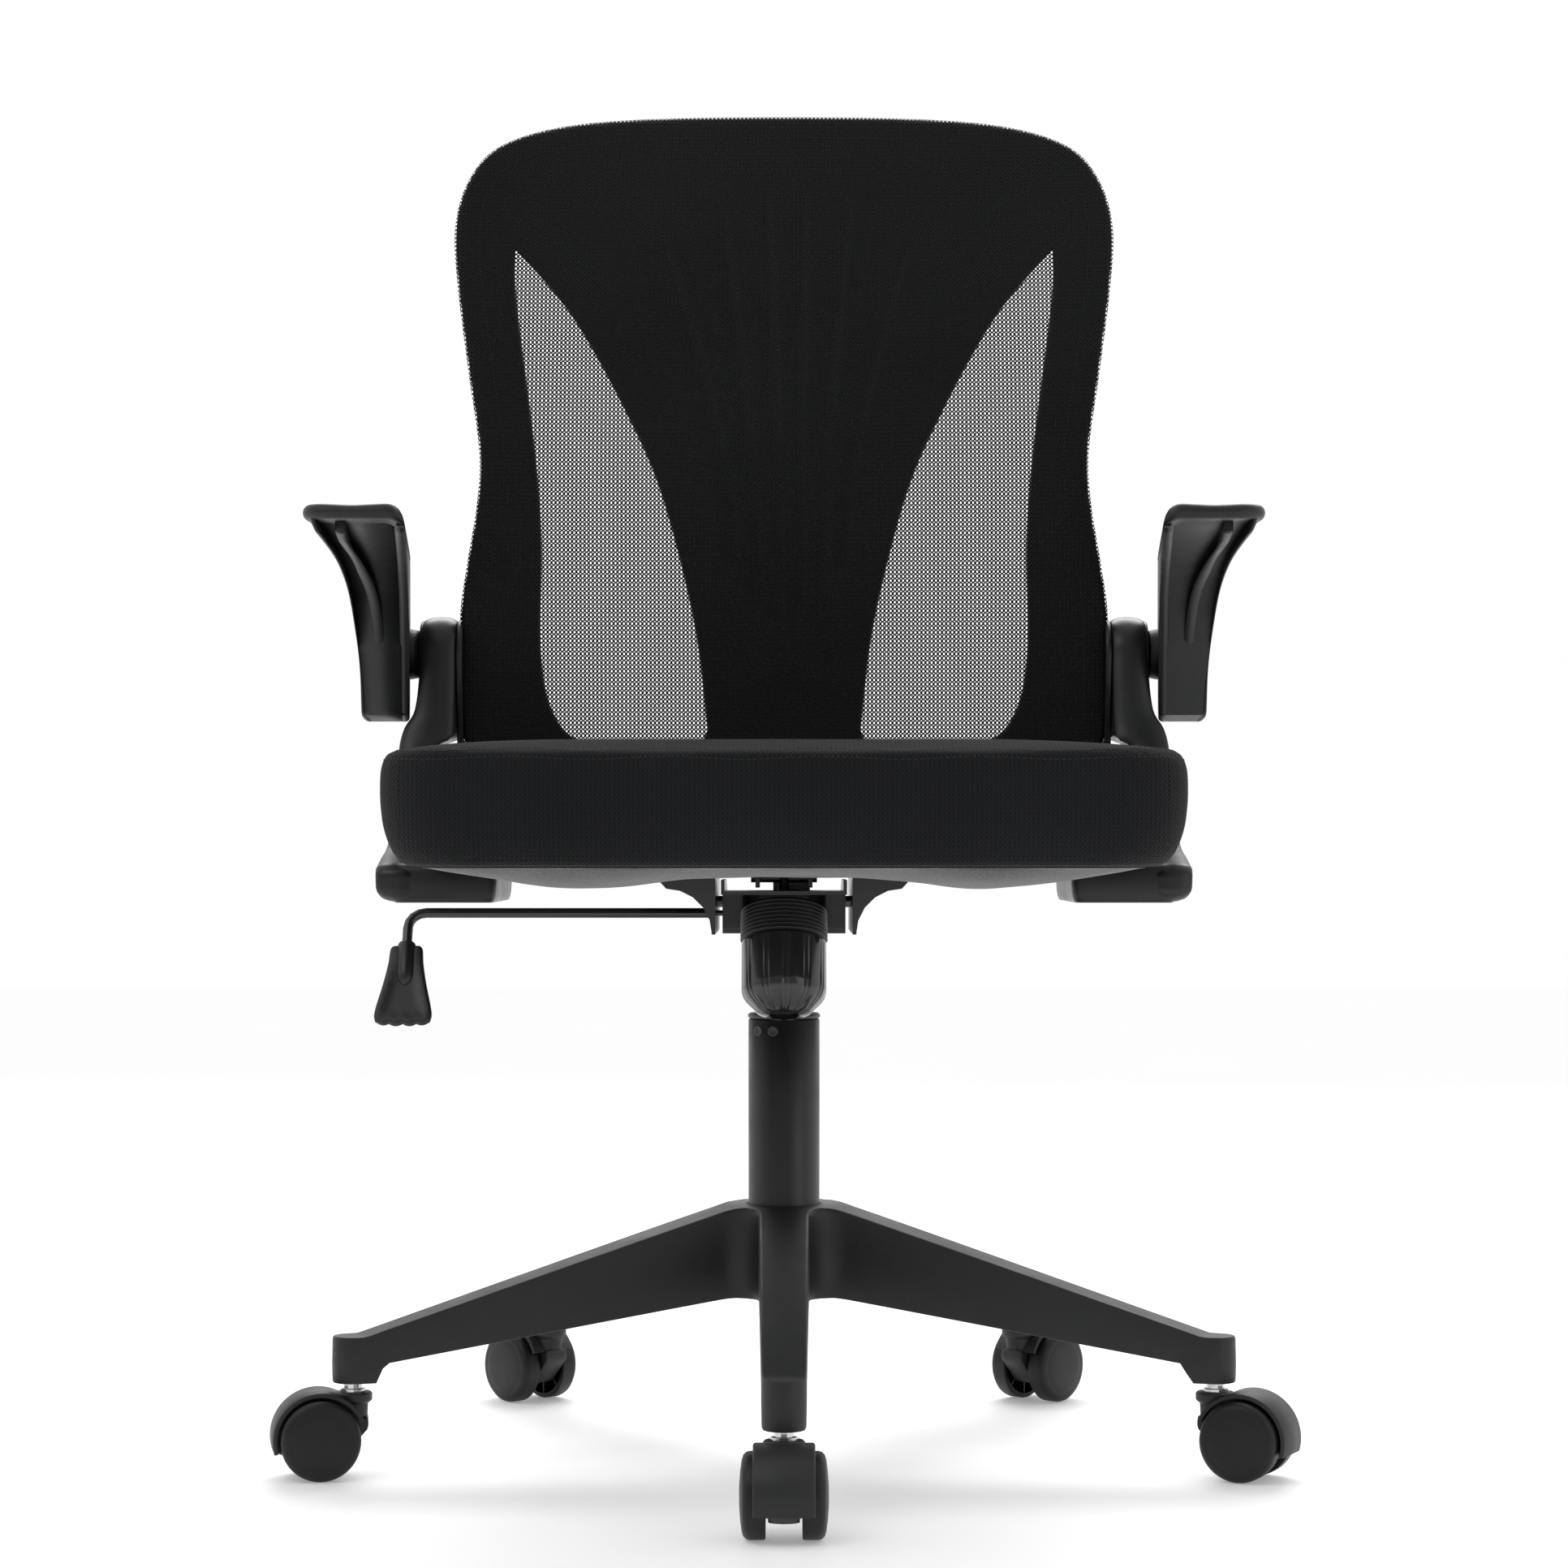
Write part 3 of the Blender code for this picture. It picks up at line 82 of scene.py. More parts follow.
# ---------------------------------------------------------------- backrest outlines
BACK_LINE = [(0.475, 0.250), (0.55, 0.245), (0.62, 0.238), (0.68, 0.235), (0.75, 0.241),
             (0.85, 0.265), (0.95, 0.299), (1.02, 0.329)]     # height, depth of the front face
BACK_WRAP = [(0.0, 0.0), (0.07, 0.0010), (0.13, 0.0038), (0.19, 0.0081), (0.26, 0.0150)]
BACK_EDGE = [(0, 1.0060), (0.110, 1.0035), (0.180, 0.9950), (0.2258, 0.9770), (0.2480, 0.9480),
             (0.2570, 0.9100), (0.2540, 0.8630), (0.2435, 0.7900), (0.2345, 0.7290), (0.2362, 0.6880),
             (0.2440, 0.6400), (0.2490, 0.6020), (0.2495, 0.5300), (0.2420, 0.4950), (0.2150, 0.4775),
             (0.110, 0.4750), (0, 0.4750)]
WINDOW_INNER = [(0.2090, 0.8905), (0.1857, 0.8644), (0.1590, 0.8287), (0.1220, 0.7611),
                (0.0939, 0.6958), (0.0692, 0.5979), (0.0590, 0.5150)]
WINDOW_OUTER = [(0.0750, 0.4985), (0.1489, 0.5057), (0.1759, 0.5264), (0.1865, 0.5742),
                (0.1857, 0.6600), (0.1912, 0.7322), (0.2070, 0.8490)]
FAN_GROOVES = [((0.0075, 0.600), (0.0150, 0.940)), ((0.0240, 0.610), (0.0500, 0.925)),
             ((0.0420, 0.640), (0.0950, 0.895))]
GROOVE_HALF = 0.0050
MESH_PITCH_X = 0.00315
MESH_PITCH_Z = 0.0033

# ---------------------------------------------------------------- arms, brackets, mechanism
FOLD = Vector((0, JOINTS["back_fold"]["pos_m"][1], JOINTS["back_fold"]["pos_m"][2]))
FOLD_BOSS_R = 0.0288
BRACKET_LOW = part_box("side_bracket_left")[0].z + 0.0001
STUB_X = 0.2990
ARM_FRONT_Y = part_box("arm_pad_left")[0].y
PAD_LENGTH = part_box("arm_pad_left")[1].y - ARM_FRONT_Y
ARM_INNER_X = 0.2620
ARM_SPLAY = 0.085               # metres outwards per metre towards the back
ARM_PAD_WIDTH = 0.0735
ARM_LEG_WIDTH = 0.0370
ARM_TAPER = 0.78

BOLT_AXIS = Vector(JOINTS["bolt_lift"]["axis"]).normalized()
HOOK_ARM = 0.050
TILT = Vector(JOINTS["tilt"]["pos_m"])
HOOK = Vector((0, TILT.y - HOOK_ARM * BOLT_AXIS.z, TILT.z + HOOK_ARM * BOLT_AXIS.y))
BOOT_TOP, BOOT_END, BOOT_R = -0.0236, -0.0458, 0.0298
BOOT_FOLDS = 8
KNOB_TOP, KNOB_END, KNOB_R = -0.0462, -0.0985, 0.0288
LEVER_AXIS = Vector(JOINTS["lever_turn"]["pos_m"])
LEVER_LEAN = math.radians(30)
LEVER_BEND_X = -0.2600

CASTER_TRAIL = 0.0228
WHEEL_R, WHEEL_INNER_X, WHEEL_OUTER_X = 0.0270, 0.0113, 0.0276
HOOD_R = 0.0320

# ================================================================ mesh helpers


def new_object(name, verts, faces, smooth=True):
    mesh = bpy.data.meshes.new(name)
    mesh.from_pydata([tuple(v) for v in verts], [], [tuple(f) for f in faces])
    mesh.validate()
    bm = bmesh.new()
    bm.from_mesh(mesh)
    bmesh.ops.recalc_face_normals(bm, faces=bm.faces)
    bm.to_mesh(mesh)
    bm.free()
    if smooth:
        mesh.shade_smooth()
    obj = bpy.data.objects.new(name, mesh)
    bpy.context.scene.collection.objects.link(obj)
    return obj


def loft(name, rings):
    """Quads between closed rings of equal length, with flat ends."""
    count = len(rings[0])
    verts = [p for ring in rings for p in ring]
    faces = []
    for r in range(len(rings) - 1):
        for i in range(count):
            j = (i + 1) % count
            faces.append((r * count + i, r * count + j, (r + 1) * count + j, (r + 1) * count + i))
    faces.append(tuple(range(count))[::-1])
    faces.append(tuple(range((len(rings) - 1) * count, len(rings) * count)))
    return new_object(name, verts, faces)


def spun(name, profile, segments=64, closed=True):
    """Turn (radius, z) points about Z; a point on the axis becomes one vertex."""
    verts, rows, faces = [], [], []
    for radius, z in profile:
        if radius < 1e-7:
            rows.append([len(verts)] * segments)
            verts.append((0, 0, z))
            continue
        rows.append(list(range(len(verts), len(verts) + segments)))
        for i in range(segments):
            a = 2 * math.pi * i / segments
            verts.append((radius * math.cos(a), radius * math.sin(a), z))
    pairs = list(zip(rows, rows[1:]))
    if closed:
        pairs.append((rows[-1], rows[0]))
    for one, two in pairs:
        for i in range(segments):
            j = (i + 1) % segments
            corners = tuple(dict.fromkeys((one[i], one[j], two[j], two[i])))
            if len(corners) > 2:
                faces.append(corners)
    return new_object(name, verts, faces)


def sharpen(obj, degrees=35):
    obj.data.set_sharp_from_angle(angle=math.radians(degrees))
    return obj


def bevel(obj, width, segments=2, degrees=32):
    """Rounds an object's edges and evens out its shading."""
    mod = obj.modifiers.new("edge rounding", "BEVEL")
    mod.width = width
    mod.segments = segments
    mod.limit_method = "ANGLE"
    mod.angle_limit = math.radians(degrees)
    mod.use_clamp_overlap = True
    mod.harden_normals = True
    return obj


def subdivide(obj):
    """One round of smooth subdivision."""
    mod = obj.modifiers.new("fine surface", "SUBSURF")
    mod.levels = 1
    mod.render_levels = 1


def join_all(name, objects):
    """One object from several, at the frame's origin."""
    verts, faces, start = [], [], 0
    for obj in objects:
        matrix = obj.matrix_world if obj.parent else obj.matrix_basis
        verts += [matrix @ v.co for v in obj.data.vertices]
        faces += [[start + i for i in p.vertices] for p in obj.data.polygons]
        start = len(verts)
    for obj in objects:
        bpy.data.objects.remove(obj, do_unlink=True)
    return new_object(name, verts, faces)


def catmull(points, steps):
    """Smooth open curve through points of any dimension."""
    pts = [np.array(p, float) for p in points]
    ends = [2 * pts[0] - pts[1]] + pts + [2 * pts[-1] - pts[-2]]
    result = []
    for i in range(len(pts) - 1):
        p0, p1, p2, p3 = ends[i:i + 4]
        for k in range(steps):
            t = k / steps
            bend = (2 * p0 - 5 * p1 + 4 * p2 - p3) * t * t + (3 * p1 - p0 - 3 * p2 + p3) * t ** 3
            result.append(0.5 * (2 * p1 + (p2 - p0) * t + bend))
    result.append(pts[-1])
    return result


def smooth_line(table):
    """A smooth function through (place, value) points."""
    fine = np.array(catmull(table, 12))
    return lambda place: np.interp(place, fine[:, 0], fine[:, 1])


def resample(line, gap):
    """Points along a closed line, evenly spaced by about gap."""
    pts = np.array(line, float)
    pts = np.vstack([pts, pts[:1]])
    steps = np.r_[0, np.cumsum(np.linalg.norm(np.diff(pts, axis=0), axis=1))]
    count = max(int(round(steps[-1] / gap)), 4)
    places = np.linspace(0, steps[-1], count, endpoint=False)
    return np.column_stack([np.interp(places, steps, pts[:, k]) for k in range(pts.shape[1])])


def inside(points, loop):
    """Which 2-D points lie inside a closed loop."""
    x, y = points[:, 0], points[:, 1]
    result = np.zeros(len(points), bool)
    for (x0, y0), (x1, y1) in zip(loop, np.roll(loop, -1, axis=0)):
        crosses = (y0 > y) != (y1 > y)
        with np.errstate(divide="ignore", invalid="ignore"):
            at = (x1 - x0) * (y - y0) / (y1 - y0) + x0
        result ^= crosses & (x < at)
    return result


def distance_to(points, loops):
    """Distance from each 2-D point to the nearest of the loops' sides."""
    best = np.full(len(points), 1e9)
    for loop in loops:
        a, b = loop, np.roll(loop, -1, axis=0)
        for p, q in zip(a, b):
            d = q - p
            t = np.clip(((points - p) @ d) / max(d @ d, 1e-18), 0, 1)
            best = np.minimum(best, np.linalg.norm(points - p - t[:, None] * d, axis=1))
    return best


def offset_loop(loop, inset):
    """A loop moved along its own normals; positive goes to its left."""
    ahead = np.roll(loop, -1, axis=0) - np.roll(loop, 1, axis=0)
    ahead /= np.linalg.norm(ahead, axis=1)[:, None]
    return loop + inset * np.column_stack([-ahead[:, 1], ahead[:, 0]])


def turning(loop):
    """Signed area, positive when the loop runs anticlockwise."""
    x, y = loop[:, 0], loop[:, 1]
    return 0.5 * float(np.sum(x * np.roll(y, -1) - np.roll(x, -1) * y))


def panel(loops, rings, gap):
    """Fine triangulation of a flat region: loops[0] is its edge and the others are holes.

    rings are distances from each loop where a further row of points follows it, so
    that a rounded rim can be formed there.
    """
    points, edges = [], []
    for index, loop in enumerate(loops):
        loop = np.array(loop)
        if turning(loop) < 0:
            loop = loop[::-1]
        loops[index] = loop
        for inset in rings:
            row = offset_loop(loop, inset if index == 0 else -inset)
            start = len(points)
            points += [tuple(p) for p in row]
            if inset == 0:
                edges += [(start + i, start + (i + 1) % len(row)) for i in range(len(row))]
    low, high = loops[0].min(0), loops[0].max(0)
    xs = np.arange(low[0], high[0], gap)
    ys = np.arange(low[1], high[1], gap * 0.87)
    grid = np.array([(x + (0.5 * gap if j % 2 else 0.0), y) for j, y in enumerate(ys) for x in xs])
    clear = inside(grid, loops[0])
    for hole in loops[1:]:
        clear &= ~inside(grid, hole)
    grid = grid[clear]
    grid = grid[distance_to(grid, loops) > rings[-1] + 0.5 * gap]
    points += [tuple(p) for p in grid]
    made = delaunay_2d_cdt([Vector(p) for p in points], edges, [], 0, 1e-7)
    flat = np.array([tuple(v) for v in made[0]])
    faces = np.array([f for f in made[2] if len(f) == 3])
    centre = flat[faces].mean(1)
    keep = inside(centre, loops[0])
    for hole in loops[1:]:
        keep &= ~inside(centre, hole)
    faces = faces[keep]
    used = np.unique(faces)
    renumber = np.full(len(flat), -1)
    renumber[used] = np.arange(len(used))
    return flat[used], renumber[faces]


# ================================================================ materials


class Shader:
    """A Principled material and short ways to add nodes to it."""

    def __init__(self, name, color, roughness, metallic=0.0, **extra):
        self.mat = bpy.data.materials.new(name)
        self.mat.use_nodes = True
        self.tree = self.mat.node_tree
        self.bsdf = self.tree.nodes["Principled BSDF"]
        self.set("Base Color", (*color, 1.0))
        self.set("Roughness", roughness)
        self.set("Metallic", metallic)
        for socket, value in extra.items():
            self.set(socket.replace("_", " "), value)
        self.color = color
        self.where = self.tree.nodes.new("ShaderNodeTexCoord").outputs["Object"]

    def set(self, socket, value):
        self.bsdf.inputs[socket].default_value = value

    def link(self, source, target):
        self.tree.links.new(source, target)

    def node(self, kind, inputs=(), **settings):
        made = self.tree.nodes.new(kind)
        for key, value in settings.items():
            setattr(made, key, value)
        for key, value in dict(inputs).items():
            if hasattr(value, "is_linked"):
                self.link(value, made.inputs[key])
            else:
                made.inputs[key].default_value = value
        return made

    def math(self, operation, a, b=0.0, c=0.0):
        return self.node("ShaderNodeMath", {0: a, 1: b, 2: c}, operation=operation).outputs[0]

    def noise(self, scale, detail=3.0, vector=None):
        inputs = {"Vector": vector or self.where, "Scale": scale, "Detail": detail}
        return self.node("ShaderNodeTexNoise", inputs).outputs["Fac"]

    def stretched(self, x, y, z):
        """The object's own coordinates, scaled apart along X, Y and Z."""
        made = self.node("ShaderNodeVectorMath", {0: self.where, 1: (x, y, z)}, operation="MULTIPLY")
        return made.outputs[0]

    def spread(self, value, low, high, start=0.3, end=0.7):
        made = self.node("ShaderNodeMapRange", {"Value": value, "From Min": start, "From Max": end,
                                                "To Min": low, "To Max": high})
        return made.outputs["Result"]

    def tint(self, value, low, high):
        """Base colour between low and high times the plain colour."""
        made = self.node("ShaderNodeMix", {"Factor": value}, data_type="RGBA")
        made.inputs[6].default_value = (*[c * low for c in self.color], 1)
        made.inputs[7].default_value = (*[c * high for c in self.color], 1)
        self.link(made.outputs[2], self.bsdf.inputs["Base Color"])
        return made

    def rough(self, value, low, high):
        self.link(self.spread(value, low, high), self.bsdf.inputs["Roughness"])

    def bump(self, height, distance, strength=1.0, onto=None):
        inputs = {"Height": height, "Distance": distance, "Strength": strength}
        if onto:
            inputs["Normal"] = onto
        made = self.node("ShaderNodeBump", inputs)
        self.link(made.outputs[0], self.bsdf.inputs["Normal"])
        return made.outputs[0]


def moulded(name, color, roughness, grain=0.00005, grain_scale=900.0, **extra):
    """Moulded plastic: fine grain, slow colour drift and patchy gloss."""
    s = Shader(name, color, roughness, **extra)
    s.tint(s.spread(s.noise(9.0, 5.0), 0.0, 1.0), 0.88, 1.14)
    s.rough(s.noise(35.0, 4.0), roughness - 0.05, roughness + 0.06)
    first = s.bump(s.noise(grain_scale, 2.0), grain, 0.8)
    s.bump(s.noise(60.0, 2.0), 0.0002, 0.25, first)
    return s.mat


def painted(name, color, roughness, **extra):
    """Paint over metal: a faint orange peel."""
    s = Shader(name, color, roughness, **extra)
    s.tint(s.spread(s.noise(14.0, 4.0), 0.0, 1.0), 0.90, 1.12)
    s.rough(s.noise(50.0, 4.0), roughness - 0.04, roughness + 0.07)
    s.bump(s.noise(420.0, 2.0), 0.00006, 0.5)
    return s.mat


def plated(name, color, roughness):
    """Bare or plated metal with fine drawn marks."""
    s = Shader(name, color, roughness, 1.0)
    marks = s.noise(260.0, 4.0, s.stretched(1.0, 1.0, 9.0))
    s.tint(s.spread(marks, 0.0, 1.0), 0.85, 1.1)
    s.rough(marks, roughness - 0.05, roughness + 0.10)
    s.bump(marks, 0.00003, 0.4)
    return s.mat


def cell(s, u, v, shift_u, shift_v, half_u, half_v):
    """Squared distance, in hole radii, from the nearest hole of a regular lattice."""
    a = s.math("SUBTRACT", s.math("FRACT", s.math("ADD", u, shift_u)), 0.5)
    b = s.math("SUBTRACT", s.math("FRACT", s.math("ADD", v, shift_v)), 0.5)
    a = s.math("MULTIPLY", a, 1.0 / half_u)
    b = s.math("MULTIPLY", b, 1.0 / half_v)
    return s.math("ADD", s.math("MULTIPLY", a, a), s.math("MULTIPLY", b, b))


def lattice(s, u, v):
    """Nearest-hole distance for rows of tall oval holes with small slanted ones between."""
    tall = cell(s, u, v, 0.5, 0.5, 0.235, 0.300)
    lean = s.math("ADD", v, s.math("MULTIPLY", s.math("SINE", s.math("MULTIPLY", u, 2 * math.pi)), 0.035))
    small = cell(s, u, lean, 0.0, 0.0, 0.215, 0.125)
    return s.math("MINIMUM", tall, small)


def open_mesh(name, color):
    """Knitted back mesh: the lattice's holes are open."""
    s = Shader(name, color, 0.80, Specular_IOR_Level=0.12, Sheen_Weight=0.04, Sheen_Roughness=0.5)
    axes = s.node("ShaderNodeSeparateXYZ", {0: s.where})
    u = s.math("MULTIPLY", axes.outputs[0], 1 / MESH_PITCH_X)
    v = s.math("MULTIPLY", axes.outputs[2], 1 / MESH_PITCH_Z)
    near = lattice(s, u, v)
    s.link(s.spread(near, 0.0, 1.0, 0.92, 1.08), s.bsdf.inputs["Alpha"])
    s.tint(s.spread(s.noise(7.0, 4.0), 0.0, 1.0), 0.85, 1.2)
    yarn = s.math("MULTIPLY", s.math("MINIMUM", near, 3.0), 0.33)
    s.bump(yarn, 0.0007, 0.9)
    return s.mat


def knit(name, color, pitch, depth, roughness=0.85):
    """Closed knit in the same lattice: the holes are dimples, with painted shade darkening them; it follows
    the face it is on.
    """
    s = Shader(name, color, roughness, Specular_IOR_Level=0.10, Sheen_Weight=0.04, Sheen_Roughness=0.5)
    axes = s.node("ShaderNodeSeparateXYZ", {0: s.where})
    turn = s.node("ShaderNodeNewGeometry")
    normal = s.node("ShaderNodeSeparateXYZ", {0: turn.outputs["True Normal"]})
    up = s.math("GREATER_THAN", s.math("ABSOLUTE", normal.outputs[2]), 0.62)
    side = s.math("GREATER_THAN", s.math("ABSOLUTE", normal.outputs[0]), 0.70)
    u_flat = s.node("ShaderNodeMix", {0: side, 2: axes.outputs[0], 3: axes.outputs[1]}).outputs[0]
    v_flat = s.node("ShaderNodeMix", {0: up, 2: axes.outputs[2], 3: axes.outputs[1]}).outputs[0]
    u_turn = s.node("ShaderNodeMix", {0: up, 2: u_flat, 3: axes.outputs[0]}).outputs[0]
    near = lattice(s, s.math("MULTIPLY", u_turn, 1 / pitch), s.math("MULTIPLY", v_flat, 1 / pitch))
    yarn = s.math("MULTIPLY", s.math("MINIMUM", near, 2.2), 0.45)
    cloudy = s.noise(11.0, 4.0)
    # painted shade: the colour is darker in the knit's dimples and lighter on the yarn between them, times a
    # random cloudy tone
    shade = s.math("MULTIPLY", s.spread(yarn, 0.45, 1.0, 0.2, 1.0), s.spread(cloudy, 0.8, 1.15))
    s.tint(shade, 0.25, 1.45)
    first = s.bump(yarn, depth, 0.9)
    s.bump(s.noise(1500.0, 2.0), 0.0002, 0.6, first)
    return s.mat


def felt(name, color):
    """Pressed grey non-woven with light and dark fibres."""
    s = Shader(name, color, 0.96, Sheen_Weight=0.2, Sheen_Roughness=0.5)
    fibres = s.noise(950.0, 4.0)
    patches = s.noise(40.0, 4.0)
    shade = s.math("MULTIPLY", s.spread(fibres, 0.1, 1.0, 0.38, 0.66), s.spread(patches, 0.75, 1.1))
    s.tint(shade, 0.25, 2.4)
    s.bump(fibres, 0.0003, 0.8)
    return s.mat


def plywood(name, color):
    s = Shader(name, color, 0.65)
    grain = s.noise(60.0, 5.0, s.stretched(0.12, 1.0, 12.0))
    s.tint(s.spread(grain, 0.0, 1.0), 0.75, 1.2)
    s.bump(grain, 0.0001, 0.4)
    return s.mat


STUDIO_DIM = 0.42
SEAT_REAR_TOP_Z = 0.4850
CUSHION_LOW, CUSHION_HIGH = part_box("seat_cushion")
SLATE = (0.0075, 0.0082, 0.0092)
BLACK = (0.0055, 0.0055, 0.0060)
MATS = {
    "nylon": moulded("black nylon", (0.0115, 0.0122, 0.0132), 0.50, 0.00011, 1100.0, Specular_IOR_Level=0.40),
    "wheel": moulded("caster wheel nylon", BLACK, 0.46, 0.00003, Specular_IOR_Level=0.35),
    "chrome": plated("polished steel", (0.62, 0.62, 0.63), 0.14),
    "column": painted("powder-coated tube", BLACK, 0.36),
    "painted_steel": painted("black painted steel", BLACK, 0.30, Coat_Weight=0.3, Coat_Roughness=0.15),
    "steel": plated("zinc-plated steel", (0.16, 0.16, 0.165), 0.34),
    "gloss": moulded("gloss black moulding", BLACK, 0.22, 0.00001, 400.0,
                     Coat_Weight=0.35, Coat_Roughness=0.08),
    "satin": moulded("satin bracket moulding", SLATE, 0.36, 0.00003, Specular_IOR_Level=0.4),
    "plastic": moulded("satin black moulding", BLACK, 0.42),
    "arm_pad": moulded("soft-touch arm pad", SLATE, 0.46, 0.00004, Specular_IOR_Level=0.4),
    "boot": moulded("ribbed rubber", BLACK, 0.55, 0.00002),
    "seat_board": plywood("plywood", (0.45, 0.32, 0.19)),
    "felt": felt("speckled felt", (0.045, 0.045, 0.047)),
    "thread": moulded("black thread", (0.016, 0.016, 0.017), 0.60, Specular_IOR_Level=0.3),
    "seat_fabric": knit("seat knit", (0.0085, 0.0090, 0.0100), 0.0030, 0.0006),
    "mesh": open_mesh("open back mesh", (0.0085, 0.0090, 0.0100)),
}


def dress(obj, look):
    obj.data.materials.clear()
    obj.data.materials.append(MATS[look])
    return obj


def show(obj, look, body, *nodes):
    """Gives a piece its look, the body it rides on and the nodes it stands for."""
    dress(obj, look)
    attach(obj, body)
    if nodes:
        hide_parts(*nodes)


def dress_nodes():
    """Every CAD node gets its slot's material, and a small edge rounding."""
    rounding = {"nylon": 0.0007, "painted_steel": 0.0005, "gloss": 0.0009, "plastic": 0.0006,
                "steel": 0.0003, "arm_pad": 0.001}
    for part in frame["record"]["subparts"]:
        obj = NODES[part["node"]]
        slot = part["material_slot"]
        dress(obj, slot)
        obj.data.shade_smooth()
        sharpen(obj, 30)
        if slot in rounding and part["node"] not in ("back_frame",):
            bevel(obj, rounding[slot])


# ================================================================ backrest
front_line = smooth_line(BACK_LINE)
wrap_line = smooth_line(BACK_WRAP)


def back_depth(x, z):
    return front_line(z) - wrap_line(np.abs(x))


def edge_loop():
    """The backrest's outline, tangent to its mirror image at the top and bottom."""
    half = [(-p[0], p[1]) for p in BACK_EDGE[1:2]] + BACK_EDGE + [(-BACK_EDGE[-2][0], BACK_EDGE[-2][1])]
    line = [p for p in catmull(half, 10) if p[0] > 1e-6]
    line = [np.array((0.0, BACK_EDGE[0][1]))] + line + [np.array((0.0, BACK_EDGE[-1][1]))]
    right = np.array(line)
    return np.vstack([right, right[::-1][1:-1] * (-1, 1)])


def window_loop():
    """Window outline: smooth sides that meet in a point at the top and at the inner foot."""
    inner = catmull(WINDOW_INNER, 8)
    outer = catmull([WINDOW_INNER[-1]] + WINDOW_OUTER + [WINDOW_INNER[0]], 8)
    return np.array(inner[:-1] + outer[:-1])


def slab(name, loops, half, rim, gap, place, step=0.004, crown=0.0, crown_reach=0.010, dent=None):
    """Closed plate with rounded rims.

    loops are 2-D outlines, the edge first and then the holes; place(u, v, w) puts a flat
    point at height w of the plate where the piece needs it; dent lowers the front face.
    """
    loops = [resample(np.array(loop), step) for loop in loops]
    rings = [0.0, 0.10 * rim, 0.34 * rim, 0.68 * rim, rim]
    flat, faces = panel(loops, rings, gap)
    away = distance_to(flat, loops)
    lift = half * np.sqrt(np.clip(1 - (1 - np.clip(away / rim, 0, 1)) ** 2, 0, 1))
    rear_lift = lift + crown * (1 - np.exp(-away / crown_reach))
    front_lift = lift - (dent(flat) if dent else 0.0)
    u, v = flat[:, 0], flat[:, 1]
    verts = np.vstack([np.column_stack(place(u, v, -front_lift)), np.column_stack(place(u, v, rear_lift))])
    rear = np.arange(len(flat)) + len(flat)
    border = away < 1e-6
    rear[border] = np.arange(len(flat))[border]
    every = np.vstack([faces, rear[faces[:, ::-1]]])
    used = np.unique(every)
    renumber = np.full(len(verts), -1)
    renumber[used] = np.arange(len(used))
    return new_object(name, verts[used], renumber[every])


def fan_dent(flat):
    """Depth of the leaf-shaped grooves that fan up the middle of the frame."""
    depth = np.zeros(len(flat))
    for low, high in FAN_GROOVES:
        t = np.clip((flat[:, 1] - low[1]) / (high[1] - low[1]), 0, 1)
        x = low[0] + (high[0] - low[0]) * t ** 1.6
        half = GROOVE_HALF * np.sin(np.pi * (0.06 + 0.88 * t)) ** 0.6
        across = np.abs(np.abs(flat[:, 0]) - x) / half
        on = (flat[:, 1] > low[1]) & (flat[:, 1] < high[1]) & (across < 1)
        depth = np.maximum(depth, np.where(on, 0.0042 * (1 - across ** 2), 0))
    return depth


def back_frame():
    """Moulded frame: rounded rims round its windows, thicker inwards, with a fan of grooves."""
    outer = offset_loop(left_handed(resample(edge_loop(), 0.004)), 0.0022)
    window = window_loop()
    shell = slab("back_shell", [outer, window, window * (-1, 1)], 0.0039, 0.0036, 0.0045,
                 lambda u, v, w: (u, back_depth(u, v) + 0.0058 + w, v), crown=0.0016, dent=fan_dent)
    show(shell, "nylon", "back", "back_frame")


def left_handed(loop):
    """The loop, run anticlockwise."""
    return loop[::-1] if turning(loop) < 0 else loop


def back_mesh():
    """Stretched mesh over the frame's front, rolled back round its edge."""
    roll = 0.0058
    outer = offset_loop(left_handed(resample(edge_loop(), 0.005)), 0.0006)
    flat, faces = panel([outer], [0.0, 0.0005, 0.0016, 0.0034, roll], 0.008)
    away = distance_to(flat, [outer])
    x, z = flat[:, 0], flat[:, 1]
    curl = 0.0095 * (1 - np.sqrt(np.clip(1 - (1 - np.clip(away / roll, 0, 1)) ** 2, 0, 1)))
    sheet = new_object("back_mesh_sheet", np.column_stack([x, back_depth(x, z) + 0.0004 + curl, z]), faces)
    show(sheet, "mesh", "back", "back_mesh")


def stitches(name, line, long, gap, thick, lift):
    """Row of short stitches along a closed 3-D line, each a flattened bead; lift is their outward way."""
    places = resample(line, long + gap)
    ahead = np.roll(places, -1, axis=0) - places
    verts, faces = [], []
    for point, way, out in zip(places, ahead, lift(places)):
        way = Vector(way).normalized()
        out = Vector(out).normalized()
        side = way.cross(out).normalized()
        start = len(verts)
        for share, girth in ((-0.5, 0.35), (-0.3, 0.9), (0.0, 1.0), (0.3, 0.9), (0.5, 0.35)):
            for k in range(6):
                a = 2 * math.pi * k / 6
                offset = side * math.cos(a) * thick * girth + out * math.sin(a) * thick * girth * 0.8
                verts.append(Vector(point) + way * long * share + offset)
        for r in range(4):
            for k in range(6):
                j = (k + 1) % 6
                row = start + r * 6
                faces.append((row + k, row + j, row + 6 + j, row + 6 + k))
        faces.append(tuple(range(start, start + 6))[::-1])
        faces.append(tuple(range(start + 24, start + 30)))
    return new_object(name, verts, faces)


